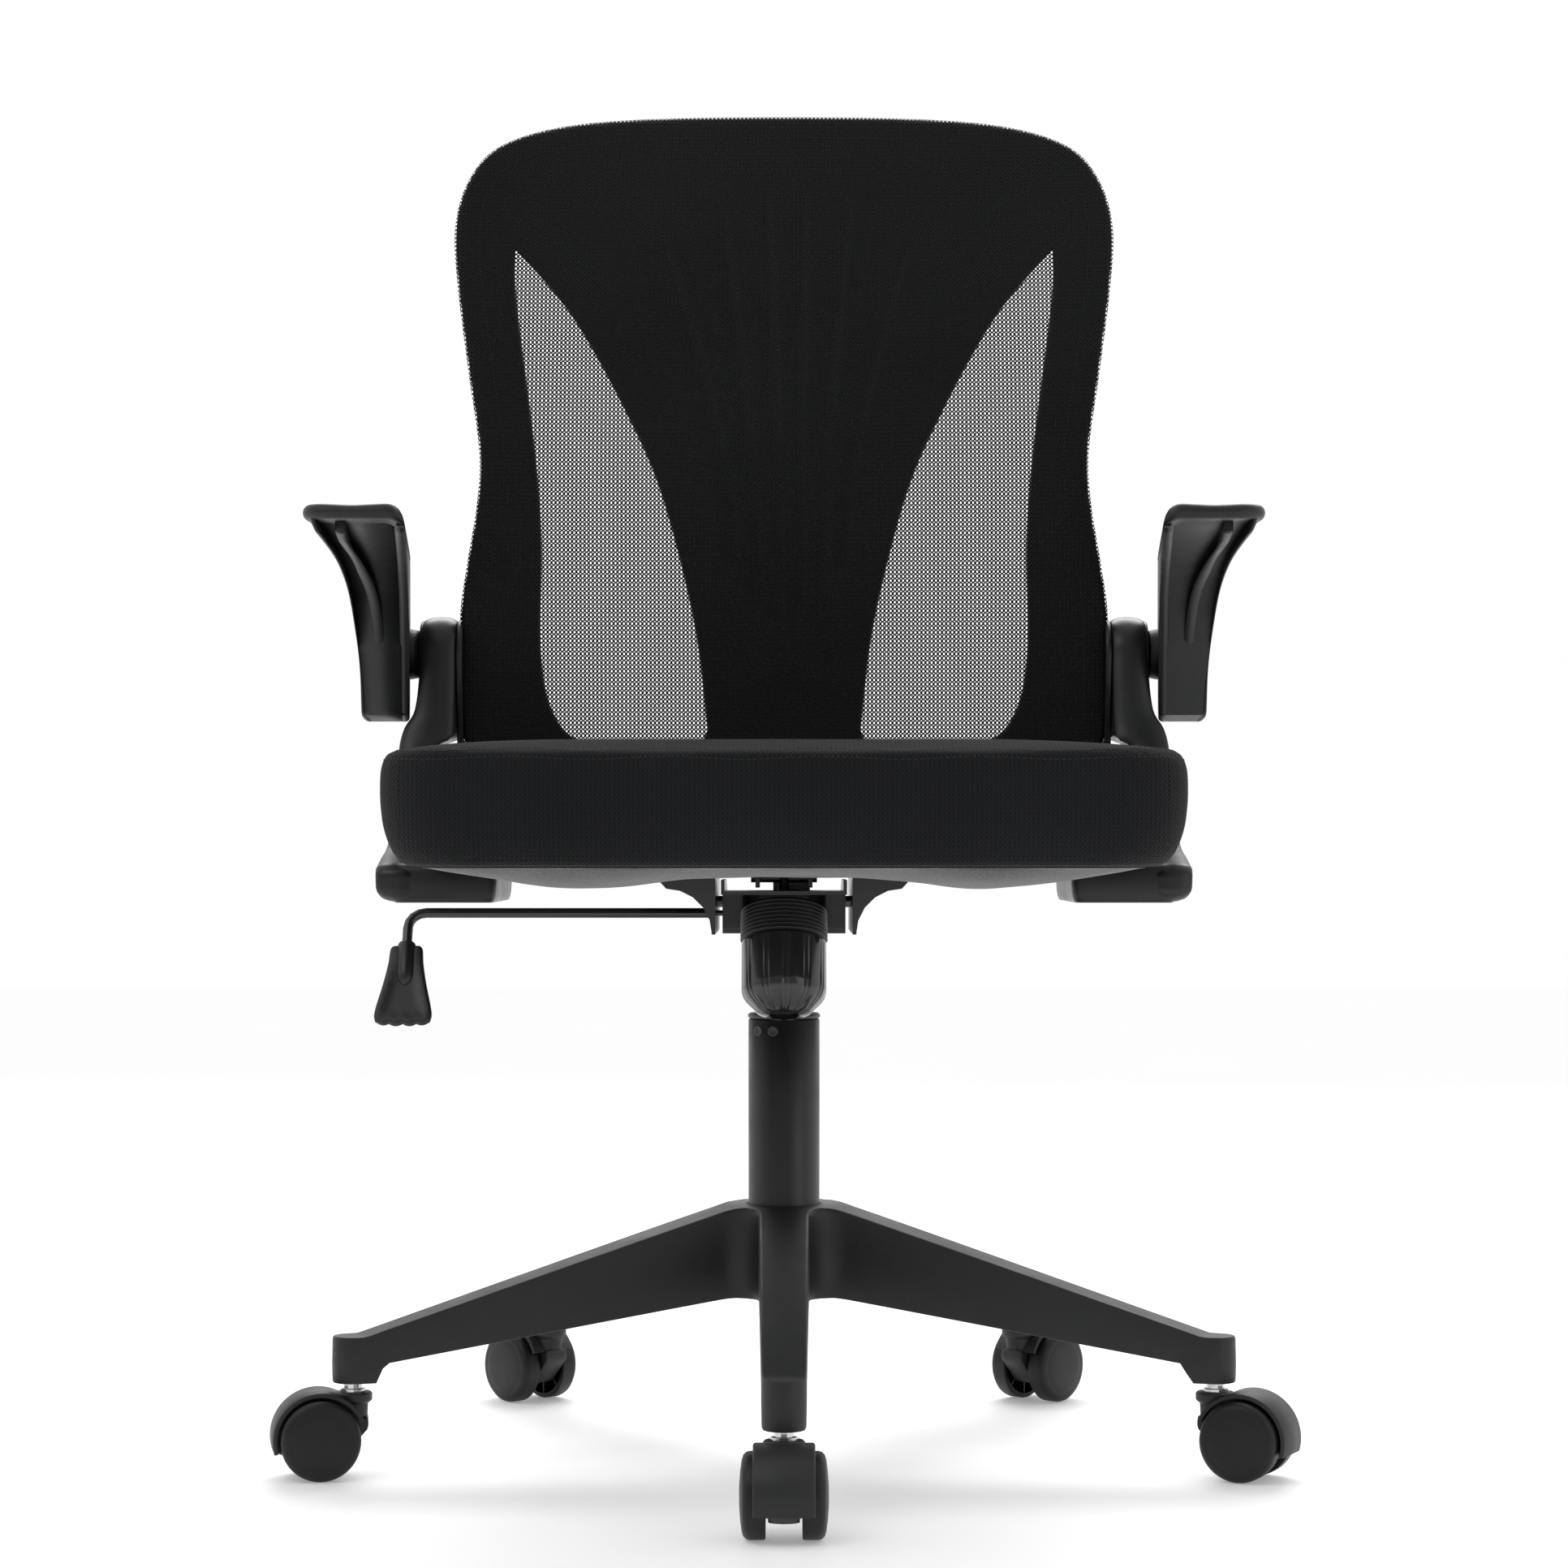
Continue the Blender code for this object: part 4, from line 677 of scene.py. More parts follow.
def back_seam():
    """The seam that holds the mesh to the frame, a hand's width in from its edge."""
    loop = offset_loop(left_handed(resample(edge_loop(), 0.004)), 0.020)
    line = np.column_stack([loop[:, 0], back_depth(loop[:, 0], loop[:, 1]) + 0.0003, loop[:, 1]])
    seam = stitches("back_border_seam", line, 0.0021, 0.0012, 0.00022,
                    lambda places: np.tile((0, -1, 0), (len(places), 1)))
    show(seam, "thread", "back")


def hinge_cheeks():
    """Round-topped hinge cheeks on the backrest's edges, just inside the side brackets."""
    outline = [(FOLD.y + 0.0265 * math.cos(a), FOLD.z + 0.0265 * math.sin(a))
               for a in np.radians(np.linspace(0, 180, 24))]
    outline += [(FOLD.y - 0.0262, 0.550), (FOLD.y - 0.0200, 0.520), (FOLD.y - 0.0120, 0.494),
                (FOLD.y + 0.0200, 0.494)]
    for side, label in ((1, "left"), (-1, "right")):
        cheek = slab(f"hinge_cheek_{label}", [np.array(outline)], 0.0022, 0.0010, 0.006,
                     lambda u, v, w: (side * (0.2476 + w), u, v), step=0.003)
        show(cheek, "satin", "back")


def build_back():
    back_frame()
    back_mesh()
    back_seam()
    hinge_cheeks()


# ================================================================ seat
def rounded_loop(half_x, low_y, high_y, radius, steps=16):
    loop = []
    for cx, cy, start in ((half_x - radius, low_y + radius, -90), (half_x - radius, high_y - radius, 0),
                          (-half_x + radius, high_y - radius, 90), (-half_x + radius, low_y + radius, 180)):
        for k in range(steps + 1):
            a = math.radians(start + 90 * k / steps)
            loop.append((cx + radius * math.cos(a), cy + radius * math.sin(a)))
    return np.array(loop)


def swell(obj, pressure, frames, cap, held):
    """Inflates a padded piece as cloth, without gravity; no point moves further than cap."""
    scene = bpy.context.scene
    rest = np.array([v.co[:] for v in obj.data.vertices])
    group = obj.vertex_groups.new(name="held")
    group.add([i for i, co in enumerate(rest) if held(co)], 1.0, "REPLACE")
    cloth = obj.modifiers.new("swell", "CLOTH")
    cloth.settings.vertex_group_mass = "held"
    cloth.settings.use_pressure = True
    cloth.settings.uniform_pressure_force = pressure
    cloth.settings.tension_stiffness = 25
    cloth.settings.compression_stiffness = 25
    cloth.settings.effector_weights.gravity = 0
    cloth.point_cache.frame_start = 1
    cloth.point_cache.frame_end = frames
    for number in range(1, frames + 1):
        scene.frame_set(number)
    graph = bpy.context.evaluated_depsgraph_get()
    mesh = bpy.data.meshes.new_from_object(obj.evaluated_get(graph))
    moved = np.array([v.co[:] for v in mesh.vertices])
    step = moved - rest
    length = np.linalg.norm(step, axis=1)
    step *= np.minimum(1, cap / np.maximum(length, 1e-9))[:, None]
    obj.modifiers.remove(cloth)
    obj.vertex_groups.clear()
    obj.data.vertices.foreach_set("co", (rest + step).ravel())
    obj.data.update()
    bpy.data.meshes.remove(mesh)
    scene.frame_set(1)


def seat_top(y):
    """Height of the cushion's top edge, which falls a little towards the back."""
    rise = (y - CUSHION_LOW.y) / (CUSHION_HIGH.y - CUSHION_LOW.y)
    return CUSHION_HIGH.z + (SEAT_REAR_TOP_Z - CUSHION_HIGH.z) * rise


def seam_height(x, y):
    """Height of the seam round the cushion, slightly wavy as sewn."""
    return seat_top(y) - 0.0100 + 0.0009 * np.sin(x * 61) + 0.0006 * np.sin(y * 83 + 1.0)


def cushion_rings(low, high, bottom):
    """Rings up the cushion's side and then in over its crowned top."""
    rings = []
    # share of the height, inset of the outline
    profile = [(0.0, 0.034), (0.0, 0.0200), (0.025, 0.0150), (0.08, 0.0105), (0.19, 0.0060), (0.36, 0.0025),
               (0.56, 0.0010), (0.76, 0.0010), (0.88, 0.0020), (0.95, 0.0042), (0.985, 0.0080), (1.0, 0.0150)]
    for share, inset in profile:
        loop = rounded_loop(high.x - inset, low.y + inset, high.y - inset, 0.052 - inset * 0.5)
        rings.append([(x, y, bottom + share * (seat_top(y) - 0.0045 - bottom)) for x, y in loop])
    middle = (low.y + high.y) / 2
    for shrink in (0.93, 0.84, 0.72, 0.58, 0.42, 0.26, 0.1):
        ring = []
        for x, y, _ in rings[len(profile) - 1]:
            new_y = middle + (y - middle) * shrink
            ring.append((x * shrink, new_y, seat_top(new_y) - 0.0045 + 0.004 * (1 - shrink ** 2)))
        rings.append(ring)
    return rings


def cushion():
    """Upholstered cushion: swollen as cloth between its held seam and its underside."""
    low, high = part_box("seat_cushion")
    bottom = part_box("seat_pan")[0].z - 0.0001
    pad = loft("seat_upholstery", cushion_rings(low, high, bottom))

    def held(co):
        on_seam = abs(co[2] - seam_height(co[0], co[1])) < 0.0030
        on_top = abs(co[0]) < high.x - 0.02 and low.y + 0.02 < co[1] < high.y - 0.02
        return co[2] < bottom + 0.004 or (on_seam and not on_top)

    remesh = pad.modifiers.new("remesh", "REMESH")
    remesh.mode = "VOXEL"
    remesh.voxel_size = 0.005
    graph = bpy.context.evaluated_depsgraph_get()
    pad.data = bpy.data.meshes.new_from_object(pad.evaluated_get(graph))
    pad.modifiers.clear()
    swell(pad, 4.0, 20, 0.0050, held)
    settle(pad, low, high)
    subdivide(pad)
    pad.data.shade_smooth()
    show(pad, "seat_fabric", "seat", "seat_cushion", "seat_pan")
    return pad


def settle(pad, low, high):
    """Widens the front a little where nothing is beside it, and draws the seam in."""
    co = np.zeros(len(pad.data.vertices) * 3)
    pad.data.vertices.foreach_get("co", co)
    co = co.reshape(-1, 3)
    free = np.clip((0.06 - co[:, 1]) / 0.10, 0, 1)
    co[:, 0] *= 1 + 0.016 * free
    limit = high.x + 0.0045 * free
    co[:, 0] = np.clip(co[:, 0], -limit, limit)
    co[:, 1] = np.clip(co[:, 1], low.y - 0.004, high.y + 0.002)
    middle = np.array([0.0, (low.y + high.y) / 2])
    outward = co[:, :2] - middle
    reach = np.maximum(np.abs(outward[:, 0]) / high.x, np.abs(outward[:, 1]) / (high.y - middle[1]))
    near = np.exp(-((co[:, 2] - seam_height(co[:, 0], co[:, 1])) / 0.0026) ** 2) * (reach > 0.85)
    length = np.maximum(np.linalg.norm(outward, axis=1), 1e-6)
    co[:, :2] -= outward / length[:, None] * (0.0014 * near)[:, None]
    pad.data.vertices.foreach_set("co", co.ravel())
    pad.data.update()


def seat_seams(pad):
    """Two rows of stitches along the seam, laid on the finished cushion."""
    low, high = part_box("seat_cushion")
    graph = bpy.context.evaluated_depsgraph_get()
    tree = BVHTree.FromObject(pad, graph)
    middle = Vector((0, (low.y + high.y) / 2, 0))
    loop = resample(rounded_loop(high.x + 0.02, low.y - 0.02, high.y + 0.02, 0.07), 0.002)
    for index, drop in enumerate((-0.0026, 0.0030)):
        line, ways = [], []
        for x, y in loop:
            edge_x, edge_y = x * 0.93, middle.y + (y - middle.y) * 0.93
            z = float(seam_height(edge_x, edge_y)) + drop
            out = Vector((x, y - middle.y, 0)).normalized()
            hit, normal = tree.ray_cast(Vector((x, y, z)), -out)[:2]
            if hit:
                line.append(tuple(hit + normal * 0.0001))
                ways.append(tuple(normal))
        line, ways = np.array(line), np.array(ways)

        def lift(places):
            return [ways[int(np.argmin(((line - p) ** 2).sum(1)))] for p in places]

        seam = stitches(f"seat_stitches_{index + 1}", line, 0.0029, 0.0012, 0.00034, lift)
        show(seam, "thread", "seat")


def underside():
    """Felt dust cover: stapled flat at its edge, bellied between, cut round the mechanism and feet."""
    low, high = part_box("seat_pan")
    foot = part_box("side_bracket_left")
    plate_low, plate_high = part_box("seat_plate")
    edge = rounded_loop(high.x - 0.0015, low.y + 0.0015, high.y - 0.0015, 0.042)
    start, inner = foot[0].y - 0.004, foot_inner() - 0.003
    keep = [(x, y) for x, y in edge if not (abs(x) > inner and start < y < 0.17)]
    split = next(i for i, (x, y) in enumerate(keep) if x > 0 and y > 0.1)
    outline = keep[:split]
    outline += [(high.x - 0.0015, start), (inner, start), (inner, 0.172), (high.x - 0.0015, 0.172)]
    left = [(x, y) for x, y in keep[split:] if not (x < 0 and y < 0.1)]
    outline += left + [(-high.x + 0.0015, 0.172), (-inner, 0.172), (-inner, start), (-high.x + 0.0015, start)]
    outline += [(x, y) for x, y in keep[split:] if x < 0 and y < 0.1]
    hole = rounded_loop(plate_high.x + 0.003, plate_low.y - 0.003, plate_high.y + 0.003, 0.012, 6)
    loops = [np.array(outline), hole]
    top = low.z - 0.0003
    cover_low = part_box("seat_underside_cover")[0].z

    def place(u, v, w):
        share = np.clip((w + 0.0035) / 0.0070, 0, 1)
        away = distance_to(np.column_stack([u, v]), [loops[0]])
        belly = (top - cover_low - 0.0002) * (1 - np.exp(-away / 0.030))
        belly += 0.0080 * np.exp(-((np.abs(u) - 0.135) / 0.055) ** 2) * (1 - np.exp(-away / 0.030))
        waves = 0.0006 * np.sin(u * 55 + 0.7) * np.sin(v * 47)
        return u, v, top - (1 - share) * np.maximum(belly + waves, 0.0007)

    felt_piece = slab("seat_dust_cover", loops, 0.0035, 0.004, 0.009, place, step=0.006)
    show(felt_piece, "felt", "seat", "seat_underside_cover")


def foot_inner():
    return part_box("side_bracket_left")[0].x


def build_seat():
    pad = cushion()
    seat_seams(pad)
    underside()


# ================================================================ arms and side brackets
def mirror(obj, name):
    """The same piece on the other side of the chair."""
    return new_object(name, [(-v.co.x, v.co.y, v.co.z) for v in obj.data.vertices],
                      [tuple(p.vertices) for p in obj.data.polygons])


def both_sides(obj, base, look, body, *nodes):
    """Dresses a left-hand piece and its mirrored twin; each stands for its side's nodes."""
    twin = mirror(obj, f"{base}_right")
    for piece, side in ((obj, "left"), (twin, "right")):
        show(piece, look, body.format(side), *[node.format(side) for node in nodes])


def splayed(x, y):
    """Where the arm's own x lies at y: it runs outwards to the back, and its flare narrows."""
    along = y - ARM_FRONT_Y
    across = x - ARM_INNER_X
    flare = np.maximum(across - ARM_LEG_WIDTH, 0.0)
    return ARM_INNER_X + ARM_SPLAY * along + across - flare * ARM_TAPER * along / (FOLD.y - ARM_FRONT_Y)


def arm_side():
    """The arm seen from its side: a boomerang from the pad's front to below the pivot."""
    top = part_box("arm_pad_left")[1].z - 0.0050
    rear = catmull([(0.2405, top), (0.256, 0.630), (0.2645, 0.585), (0.2595, 0.545), (0.2470, 0.5275),
                    (0.2330, 0.5215)], 6)
    front = catmull([(0.2170, 0.5260), (0.2050, 0.5480), (0.1860, 0.5820), (0.1480, 0.6125),
                     (0.0850, 0.6300), (0.0, 0.6400), (ARM_FRONT_Y + 0.016, 0.6440)], 6)
    return np.array([*rear, *front, (ARM_FRONT_Y + 0.008, 0.6500), (ARM_FRONT_Y + 0.007, top)])


ARM_FIN = smooth_line([(0.5215, 0.2935), (0.5240, 0.2972), (0.530, 0.2992), (0.560, 0.3015), (0.595, 0.3110),
                       (0.618, 0.3165), (0.636, 0.3215), (0.650, 0.3275), (0.670, 0.3300)])
ARM_RIB = smooth_line([(0.540, 0.2850), (0.576, 0.2850), (0.606, 0.2880), (0.622, 0.2925), (0.634, 0.3000),
                       (0.640, 0.3060), (0.645, 0.3080), (0.670, 0.3080)])
ARM_RIB_FOOT_Z = 0.5740


def arm_shell():
    """Inner flange, curved outer fin, the web set back between them, its raised rib and the stub."""
    side = arm_side()
    inward = offset_loop(side, 1.0 if turning(side) > 0 else -1.0) - side
    under_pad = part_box("arm_pad_left")[1].z - 0.0155
    flange = slab("flange", [side], 0.0036, 0.0030, 0.007,
                  lambda u, v, w: (splayed(ARM_INNER_X + 0.0040 + w, u), u, np.minimum(v, under_pad)))
    fin = slab("fin", [side], 0.0015, 0.0013, 0.007,
               lambda u, v, w: (splayed(ARM_FIN(v) - 0.0015 + w, u), u, v))
    rings = []
    for index in range(len(side) - 2):
        step_in = 0.0005 + 0.0100 * float(np.clip((index - 42) / 5, 0, 1))
        edge = side[index] + inward[index] * step_in
        deep = edge + inward[index] * 0.0035
        low_x, high_x = splayed(ARM_INNER_X + 0.0040, edge[0]), splayed(ARM_FIN(edge[1]) - 0.0015, edge[0])
        rings.append([(low_x, *edge), (high_x, *edge), (high_x, *deep), (low_x, *deep)])
    web = loft("web", rings)
    front = np.array([k for k in range(42, len(side) - 3) if side[k][1] > ARM_RIB_FOOT_Z])
    rib_side = np.vstack([side[front] + inward[front] * 0.0012, (side[front] + inward[front] * 0.0115)[::-1]])
    rib = slab("rib", [rib_side], 0.0040, 0.0016, 0.004,
               lambda u, v, w: (splayed(ARM_RIB(v) + w, u), u, v), step=0.003)
    stub = spun("stub", [(0, -0.0197), (0.0165, -0.0197), (0.0182, -0.0187), (0.0193, -0.0130),
                         (0.0190, -0.0080), (0.0188, 0.0010), (0, 0.0010)], 48, closed=False)
    stub.data.transform(Matrix.Translation((STUB_X, FOLD.y, FOLD.z)) @ Matrix.Rotation(math.pi / 2, 4, "Y"))
    shell = join_all("arm_shell_left", [flange, fin, web, rib, stub])
    sharpen(shell, 40)
    both_sides(shell, "arm_shell", "nylon", "arm_{}", "armrest_{}")


def arm_pad():
    """Pad slab: full round edges and a soft crown; its inner edge runs down into the arm."""
    low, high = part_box("arm_pad_left")
    half = (high.z - low.z) / 2
    width = ARM_PAD_WIDTH
    loop = []
    for cx, cy, start in ((width - 0.021, 0.021, -90), (width - 0.026, PAD_LENGTH - 0.026, 0),
                          (0.016, PAD_LENGTH - 0.016, 90), (0.012, 0.012, 180)):
        r = {0.021: 0.021, PAD_LENGTH - 0.026: 0.026, PAD_LENGTH - 0.016: 0.016, 0.012: 0.012}[cy]
        for k in range(9):
            a = math.radians(start + 90 * k / 8)
            loop.append((cx + r * math.cos(a), cy + r * math.sin(a)))
    centre = (low.z + high.z) / 2

    def place(u, v, w):
        x = splayed(ARM_INNER_X + u, ARM_FRONT_Y + v)
        dish = 0.0011 * np.exp(-((u - width / 2) / 0.018) ** 2) * (w > 0)
        roll = 0.0130 * (1 - np.sqrt(1 - np.clip(1 - u / 0.0140, 0, 1) ** 2))
        return x, ARM_FRONT_Y + v, centre + w - dish - roll

    pad = slab("arm_pad_top_left", [np.array(loop)], half - 0.0001, 0.0055, 0.006, place, step=0.003)
    both_sides(pad, "arm_pad_top", "arm_pad", "arm_{}", "arm_pad_{}")


BRACKET_OUT = smooth_line([(0.380, 0.2905), (0.470, 0.2925), (0.500, 0.2915), (0.516, 0.2880),
                           (0.530, 0.2805), (0.560, 0.2775), (0.592, 0.2772), (0.604, 0.2750)])
BRACKET_IN = smooth_line([(0.380, 0.2630), (0.494, 0.2630), (0.507, 0.2530), (0.520, 0.2506),
                          (0.604, 0.2504)])


def bracket_side():
    """The bracket seen from its side: round boss, curved upright and foot."""
    radius = FOLD_BOSS_R
    rear = catmull([(0.165, BRACKET_LOW), (0.2020, 0.3920), (0.2300, 0.4120), (0.2560, 0.4500),
                    (0.2680, 0.5100), (FOLD.y + radius, FOLD.z)], 8)
    arc = [(FOLD.y + radius * math.cos(math.pi * k / 24), FOLD.z + radius * math.sin(math.pi * k / 24))
           for k in range(1, 24)]
    front = catmull([(FOLD.y - radius, FOLD.z), (0.1990, 0.510), (0.1740, 0.4640), (0.1240, 0.4330),
                     (0.0640, 0.4200), (0.0340, 0.4140)], 8)
    return np.array([*rear, *arc, *front, (0.0285, 0.4080), (0.0285, BRACKET_LOW + 0.006),
                     (0.0345, BRACKET_LOW)])


def bracket():
    """Upright with a shallow groove in its outer face, foot under the seat and a proud disc."""
    side = bracket_side()
    seat_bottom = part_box("seat_pan")[0].z - 0.0003

    def place(u, v, w):
        out, low = BRACKET_OUT(v), BRACKET_IN(v)
        tuck = np.clip((BRACKET_LOW + 0.012 - v) / 0.012, 0, 1) ** 2 * 0.007
        return (out + low) / 2 + w * (out - low) / 0.027 - tuck * (w > 0), u, v

    upright = slab("upright", [side], 0.0135, 0.0042, 0.0055, place, step=0.0035)
    foot_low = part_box("side_bracket_left")[0].x
    outline = rounded_loop(0.5 * (0.280 - foot_low), 0.030, 0.196, 0.008, 6) + (0.5 * (0.280 + foot_low), 0)
    half = 0.5 * (seat_bottom - BRACKET_LOW)
    foot = slab("foot", [outline], half, 0.0030, 0.008,
                lambda u, v, w: (u, v, BRACKET_LOW + half + w), step=0.004)
    disc = spun("disc", [(0, 0.0), (0.0255, 0.0), (0.0255, 0.0016), (0.0245, 0.0024), (0.0205, 0.0026),
                         (0.0200, 0.0020), (0, 0.0020)], 56, closed=False)
    disc.data.transform(Matrix.Translation((0.2758, FOLD.y, FOLD.z)) @ Matrix.Rotation(math.pi / 2, 4, "Y"))
    ribs = []
    for k in range(9):
        share = k / 8
        y, z = 0.1985 + 0.026 * (1 - share) - 0.018 * share ** 2, 0.556 - 0.104 * share
        ribs.append(rib_bar((0.2635, y - 0.004, z), (0.2635, y + 0.012, z + 0.006), 0.0009))
    body = join_all("bracket_shell_left", [upright, foot, disc, *ribs])
    sharpen(body, 40)
    both_sides(body, "bracket_shell", "satin", "seat", "side_bracket_{}")


def rib_bar(start, end, radius):
    """Short round bar between two points."""
    start, end = Vector(start), Vector(end)
    bar = spun("bar", [(0, 0), (radius, 0), (radius, (end - start).length), (0, (end - start).length)], 10,
               closed=False)
    turn = Vector((0, 0, 1)).rotation_difference(end - start).to_matrix().to_4x4()
    bar.data.transform(Matrix.Translation(start) @ turn)
    return bar


def build_arms():
    arm_shell()
    arm_pad()
    bracket()


def leaning(obj):
    """Puts a piece turned about Z on the tension bolt."""
    turn = Vector((0, 0, 1)).rotation_difference(BOLT_AXIS).to_matrix().to_4x4()
    obj.data.transform(Matrix.Translation(HOOK) @ turn)
    return obj


def tension_knob():
    """Glossy cap: pairs of grooves down its side, a faceted nose with slots and a recess."""
    sides, radius = 144, KNOB_R
    nose = [(0.0096, 0.0040, 0), (0.0098, 0.0003, 0), (0.0104, 0.0, 0), (0.0150, 0.0009, 0.5),
            (0.0185, 0.0028, 1), (0.0215, 0.0060, 1), (0.0253, 0.0098, 1), (0.0276, 0.0130, 1),
            (radius - 0.0002, 0.0165, 1), (radius, 0.0200, 1)]           # radius, height, groove depth
    rim = [(radius, -0.0040, 1), (radius, -0.0026, 0), (radius, -0.0012, 0), (radius - 0.0009, 0.0, 0),
           (radius - 0.0040, 0.0, 0)]
    profile = [(r, KNOB_END + z, cut_in) for r, z, cut_in in nose]
    profile += [(r, KNOB_TOP + z, cut_in) for r, z, cut_in in rim]
    profile.append((radius - 0.0040, KNOB_END + 0.0140, 0))
    verts, faces = [(0, 0, KNOB_END + 0.0040)], []
    for r, z, cut_in in profile:
        for k in range(sides):
            a = 2 * math.pi * k / sides
            pair = (k % 12) in (0, 3)
            rr = r - (0.0007 if pair and cut_in else 0.0) * cut_in
            verts.append((rr * math.cos(a), rr * math.sin(a), z))
    for k in range(sides):
        faces.append((0, 1 + (k + 1) % sides, 1 + k))
        faces.append(tuple(1 + (len(profile) - 1) * sides + i for i in ((k), (k + 1) % sides))
                     + (len(verts),))
    verts.append((0, 0, KNOB_END + 0.0140))
    for row in range(len(profile) - 1):
        for k in range(sides):
            j = (k + 1) % sides
            base = 1 + row * sides
            faces.append((base + k, base + j, base + sides + j, base + sides + k))
    knob = leaning(new_object("tension_knob_cap", verts, faces))
    sharpen(knob, 28)
    show(knob, "gloss", "knob", "tension_knob")


def spring_boot():
    """Rubber bellows over the spring, eight folds."""
    ribs = []
    pitch = (BOOT_TOP - BOOT_END) / BOOT_FOLDS
    for fold in range(BOOT_FOLDS):
        for k in range(8):
            a = 2 * math.pi * k / 8
            ribs.append((BOOT_R - 0.0011 - 0.0011 * math.cos(a), BOOT_END + pitch * (fold + k / 8)))
    ribs.append((BOOT_R - 0.0022, BOOT_TOP))
    boot = spun("boot_bellows", ribs + [(BOOT_R - 0.0045, BOOT_TOP), (BOOT_R - 0.0045, BOOT_END)], 72)
    leaning(boot)
    show(boot, "boot", "chassis", "spring_boot")
    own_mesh(boot)


def inner_spring():
    """Compression spring between the boot's top and the knob's floor."""
    low, high, turns, wire, coil_r = KNOB_END + 0.0245, BOOT_TOP - 0.0026, 4.5, 0.0021, 0.0150
    rings = []
    for step in range(int(turns * 28) + 1):
        share = step / (turns * 28)
        a = 2 * math.pi * turns * share
        centre = Vector((coil_r * math.cos(a), coil_r * math.sin(a), low + (high - low) * share))
        out = Vector((math.cos(a), math.sin(a), 0))
        rings.append([centre + (out * math.cos(t) + Vector((0, 0, 1)) * math.sin(t)) * wire
                      for t in (2 * math.pi * k / 12 for k in range(12))])
    spring = leaning(loft("inner_spring", rings))
    show(spring, "steel", "chassis", "tilt_spring")
    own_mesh(spring)


def column():
    """Powder-coated tube with two small punch marks, and the collar in its mouth."""
    low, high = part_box("column_tube")
    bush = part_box("column_bush")[1]
    radius = high.x
    tube = spun("column_sleeve", [(0.0110, low.z), (0.0150, low.z), (0.0160, low.z + 0.0030),
                                  (0.0175, low.z + 0.0300), (radius, low.z + 0.0360),
                                  (radius, high.z - 0.0010),
                                  (radius - 0.0010, high.z), (radius - 0.0022, high.z),
                                  (radius - 0.0022, low.z + 0.0400), (0.0120, low.z + 0.0330)], 96)
    sharpen(tube, 50)
    show(tube, "column", "base", "column_tube")
    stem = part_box("gas_cylinder")[1].x + 0.0002
    collar = spun("column_collar", [(stem, high.z - 0.020), (radius - 0.0026, high.z - 0.020),
                                    (radius - 0.0026, high.z + 0.0002), (radius - 0.0002, high.z + 0.0003),
                                    (radius + 0.0004, high.z + 0.0012), (radius + 0.0004, high.z + 0.0026),
                                    (radius - 0.0012, bush.z - 0.0004), (radius - 0.0040, bush.z),
                                    (stem + 0.0012, bush.z), (stem, bush.z - 0.0008)], 96)
    sharpen(collar, 40)
    show(collar, "plastic", "base", "column_bush")
    marks = []
    for turn in (-46, -18):
        a = math.radians(270 + turn)
        mark = spun("mark", [(0, -0.0004), (0.0036, -0.0004), (0.0040, 0.0001), (0.0034, 0.0004),
                             (0.0022, 0.0001), (0, 0.0)], 24, closed=False)
        face = Vector((math.cos(a), math.sin(a), 0))
        mark.data.transform(Matrix.Translation(face * radius + Vector((0, 0, high.z - 0.0080)))
                            @ Vector((0, 0, 1)).rotation_difference(face).to_matrix().to_4x4())
        marks.append(mark)
    dots = join_all("column_punch_marks", marks)
    show(dots, "column", "base")


def paddle():
    """Flat grip of the height lever: waisted sides, a scalloped end, a dished face and a boss."""
    side = [(0.0088, 0.0262), (0.0112, 0.0290), (0.0122, 0.0400), (0.0150, 0.0560), (0.0186, 0.0720),
            (0.0198, 0.0800), (0.0188, 0.0850)]
    end = [(0.0188 - 0.0376 * k / 24, 0.0862 + 0.0017 * abs(math.sin(math.pi * 4 * k / 24)) ** 0.7
            - 0.0022 * (abs(k - 12) / 12) ** 4) for k in range(25)]
    half = catmull(side, 5)
    outline = np.array([*half, *end[1:-1], *[(-x, y) for x, y in half[::-1]]])

    def dish(flat):
        away = distance_to(flat, [outline])
        low = np.clip((flat[:, 1] - 0.036) / 0.02, 0, 1)
        return 0.0010 * low * (1 - np.exp(-(np.maximum(away - 0.003, 0) / 0.0035) ** 2))

    def place(u, v, w):
        down = np.array((0.0, -math.sin(LEVER_LEAN), -math.cos(LEVER_LEAN)))
        across = np.array((0.0, math.cos(LEVER_LEAN), -math.sin(LEVER_LEAN)))
        return (LEVER_BEND_X + u, LEVER_AXIS.y + v * down[1] + w * across[1],
                LEVER_AXIS.z + v * down[2] + w * across[2])

    blade = slab("blade", [outline], 0.0027, 0.0022, 0.003, place, step=0.0014, dent=dish)
    boss = spun("boss", [(0.0040, 0.0245), (0.0056, 0.0245), (0.0062, 0.0256), (0.0062, 0.0480),
                         (0.0050, 0.0540), (0.0026, 0.0570), (0, 0.0578), (0, 0.0500), (0.0040, 0.0500)], 36)
    down = Vector((0, -math.sin(LEVER_LEAN), -math.cos(LEVER_LEAN)))
    boss.data.transform(Matrix.Translation((LEVER_BEND_X, LEVER_AXIS.y, LEVER_AXIS.z))
                        @ Vector((0, 0, 1)).rotation_difference(down).to_matrix().to_4x4())
    grip = join_all("lever_grip", [blade, boss])
    sharpen(grip, 45)
    show(grip, "plastic", "lever", "lever_paddle")


def build_mechanism():
    tension_knob()
    spring_boot()
    inner_spring()
    column()
    paddle()


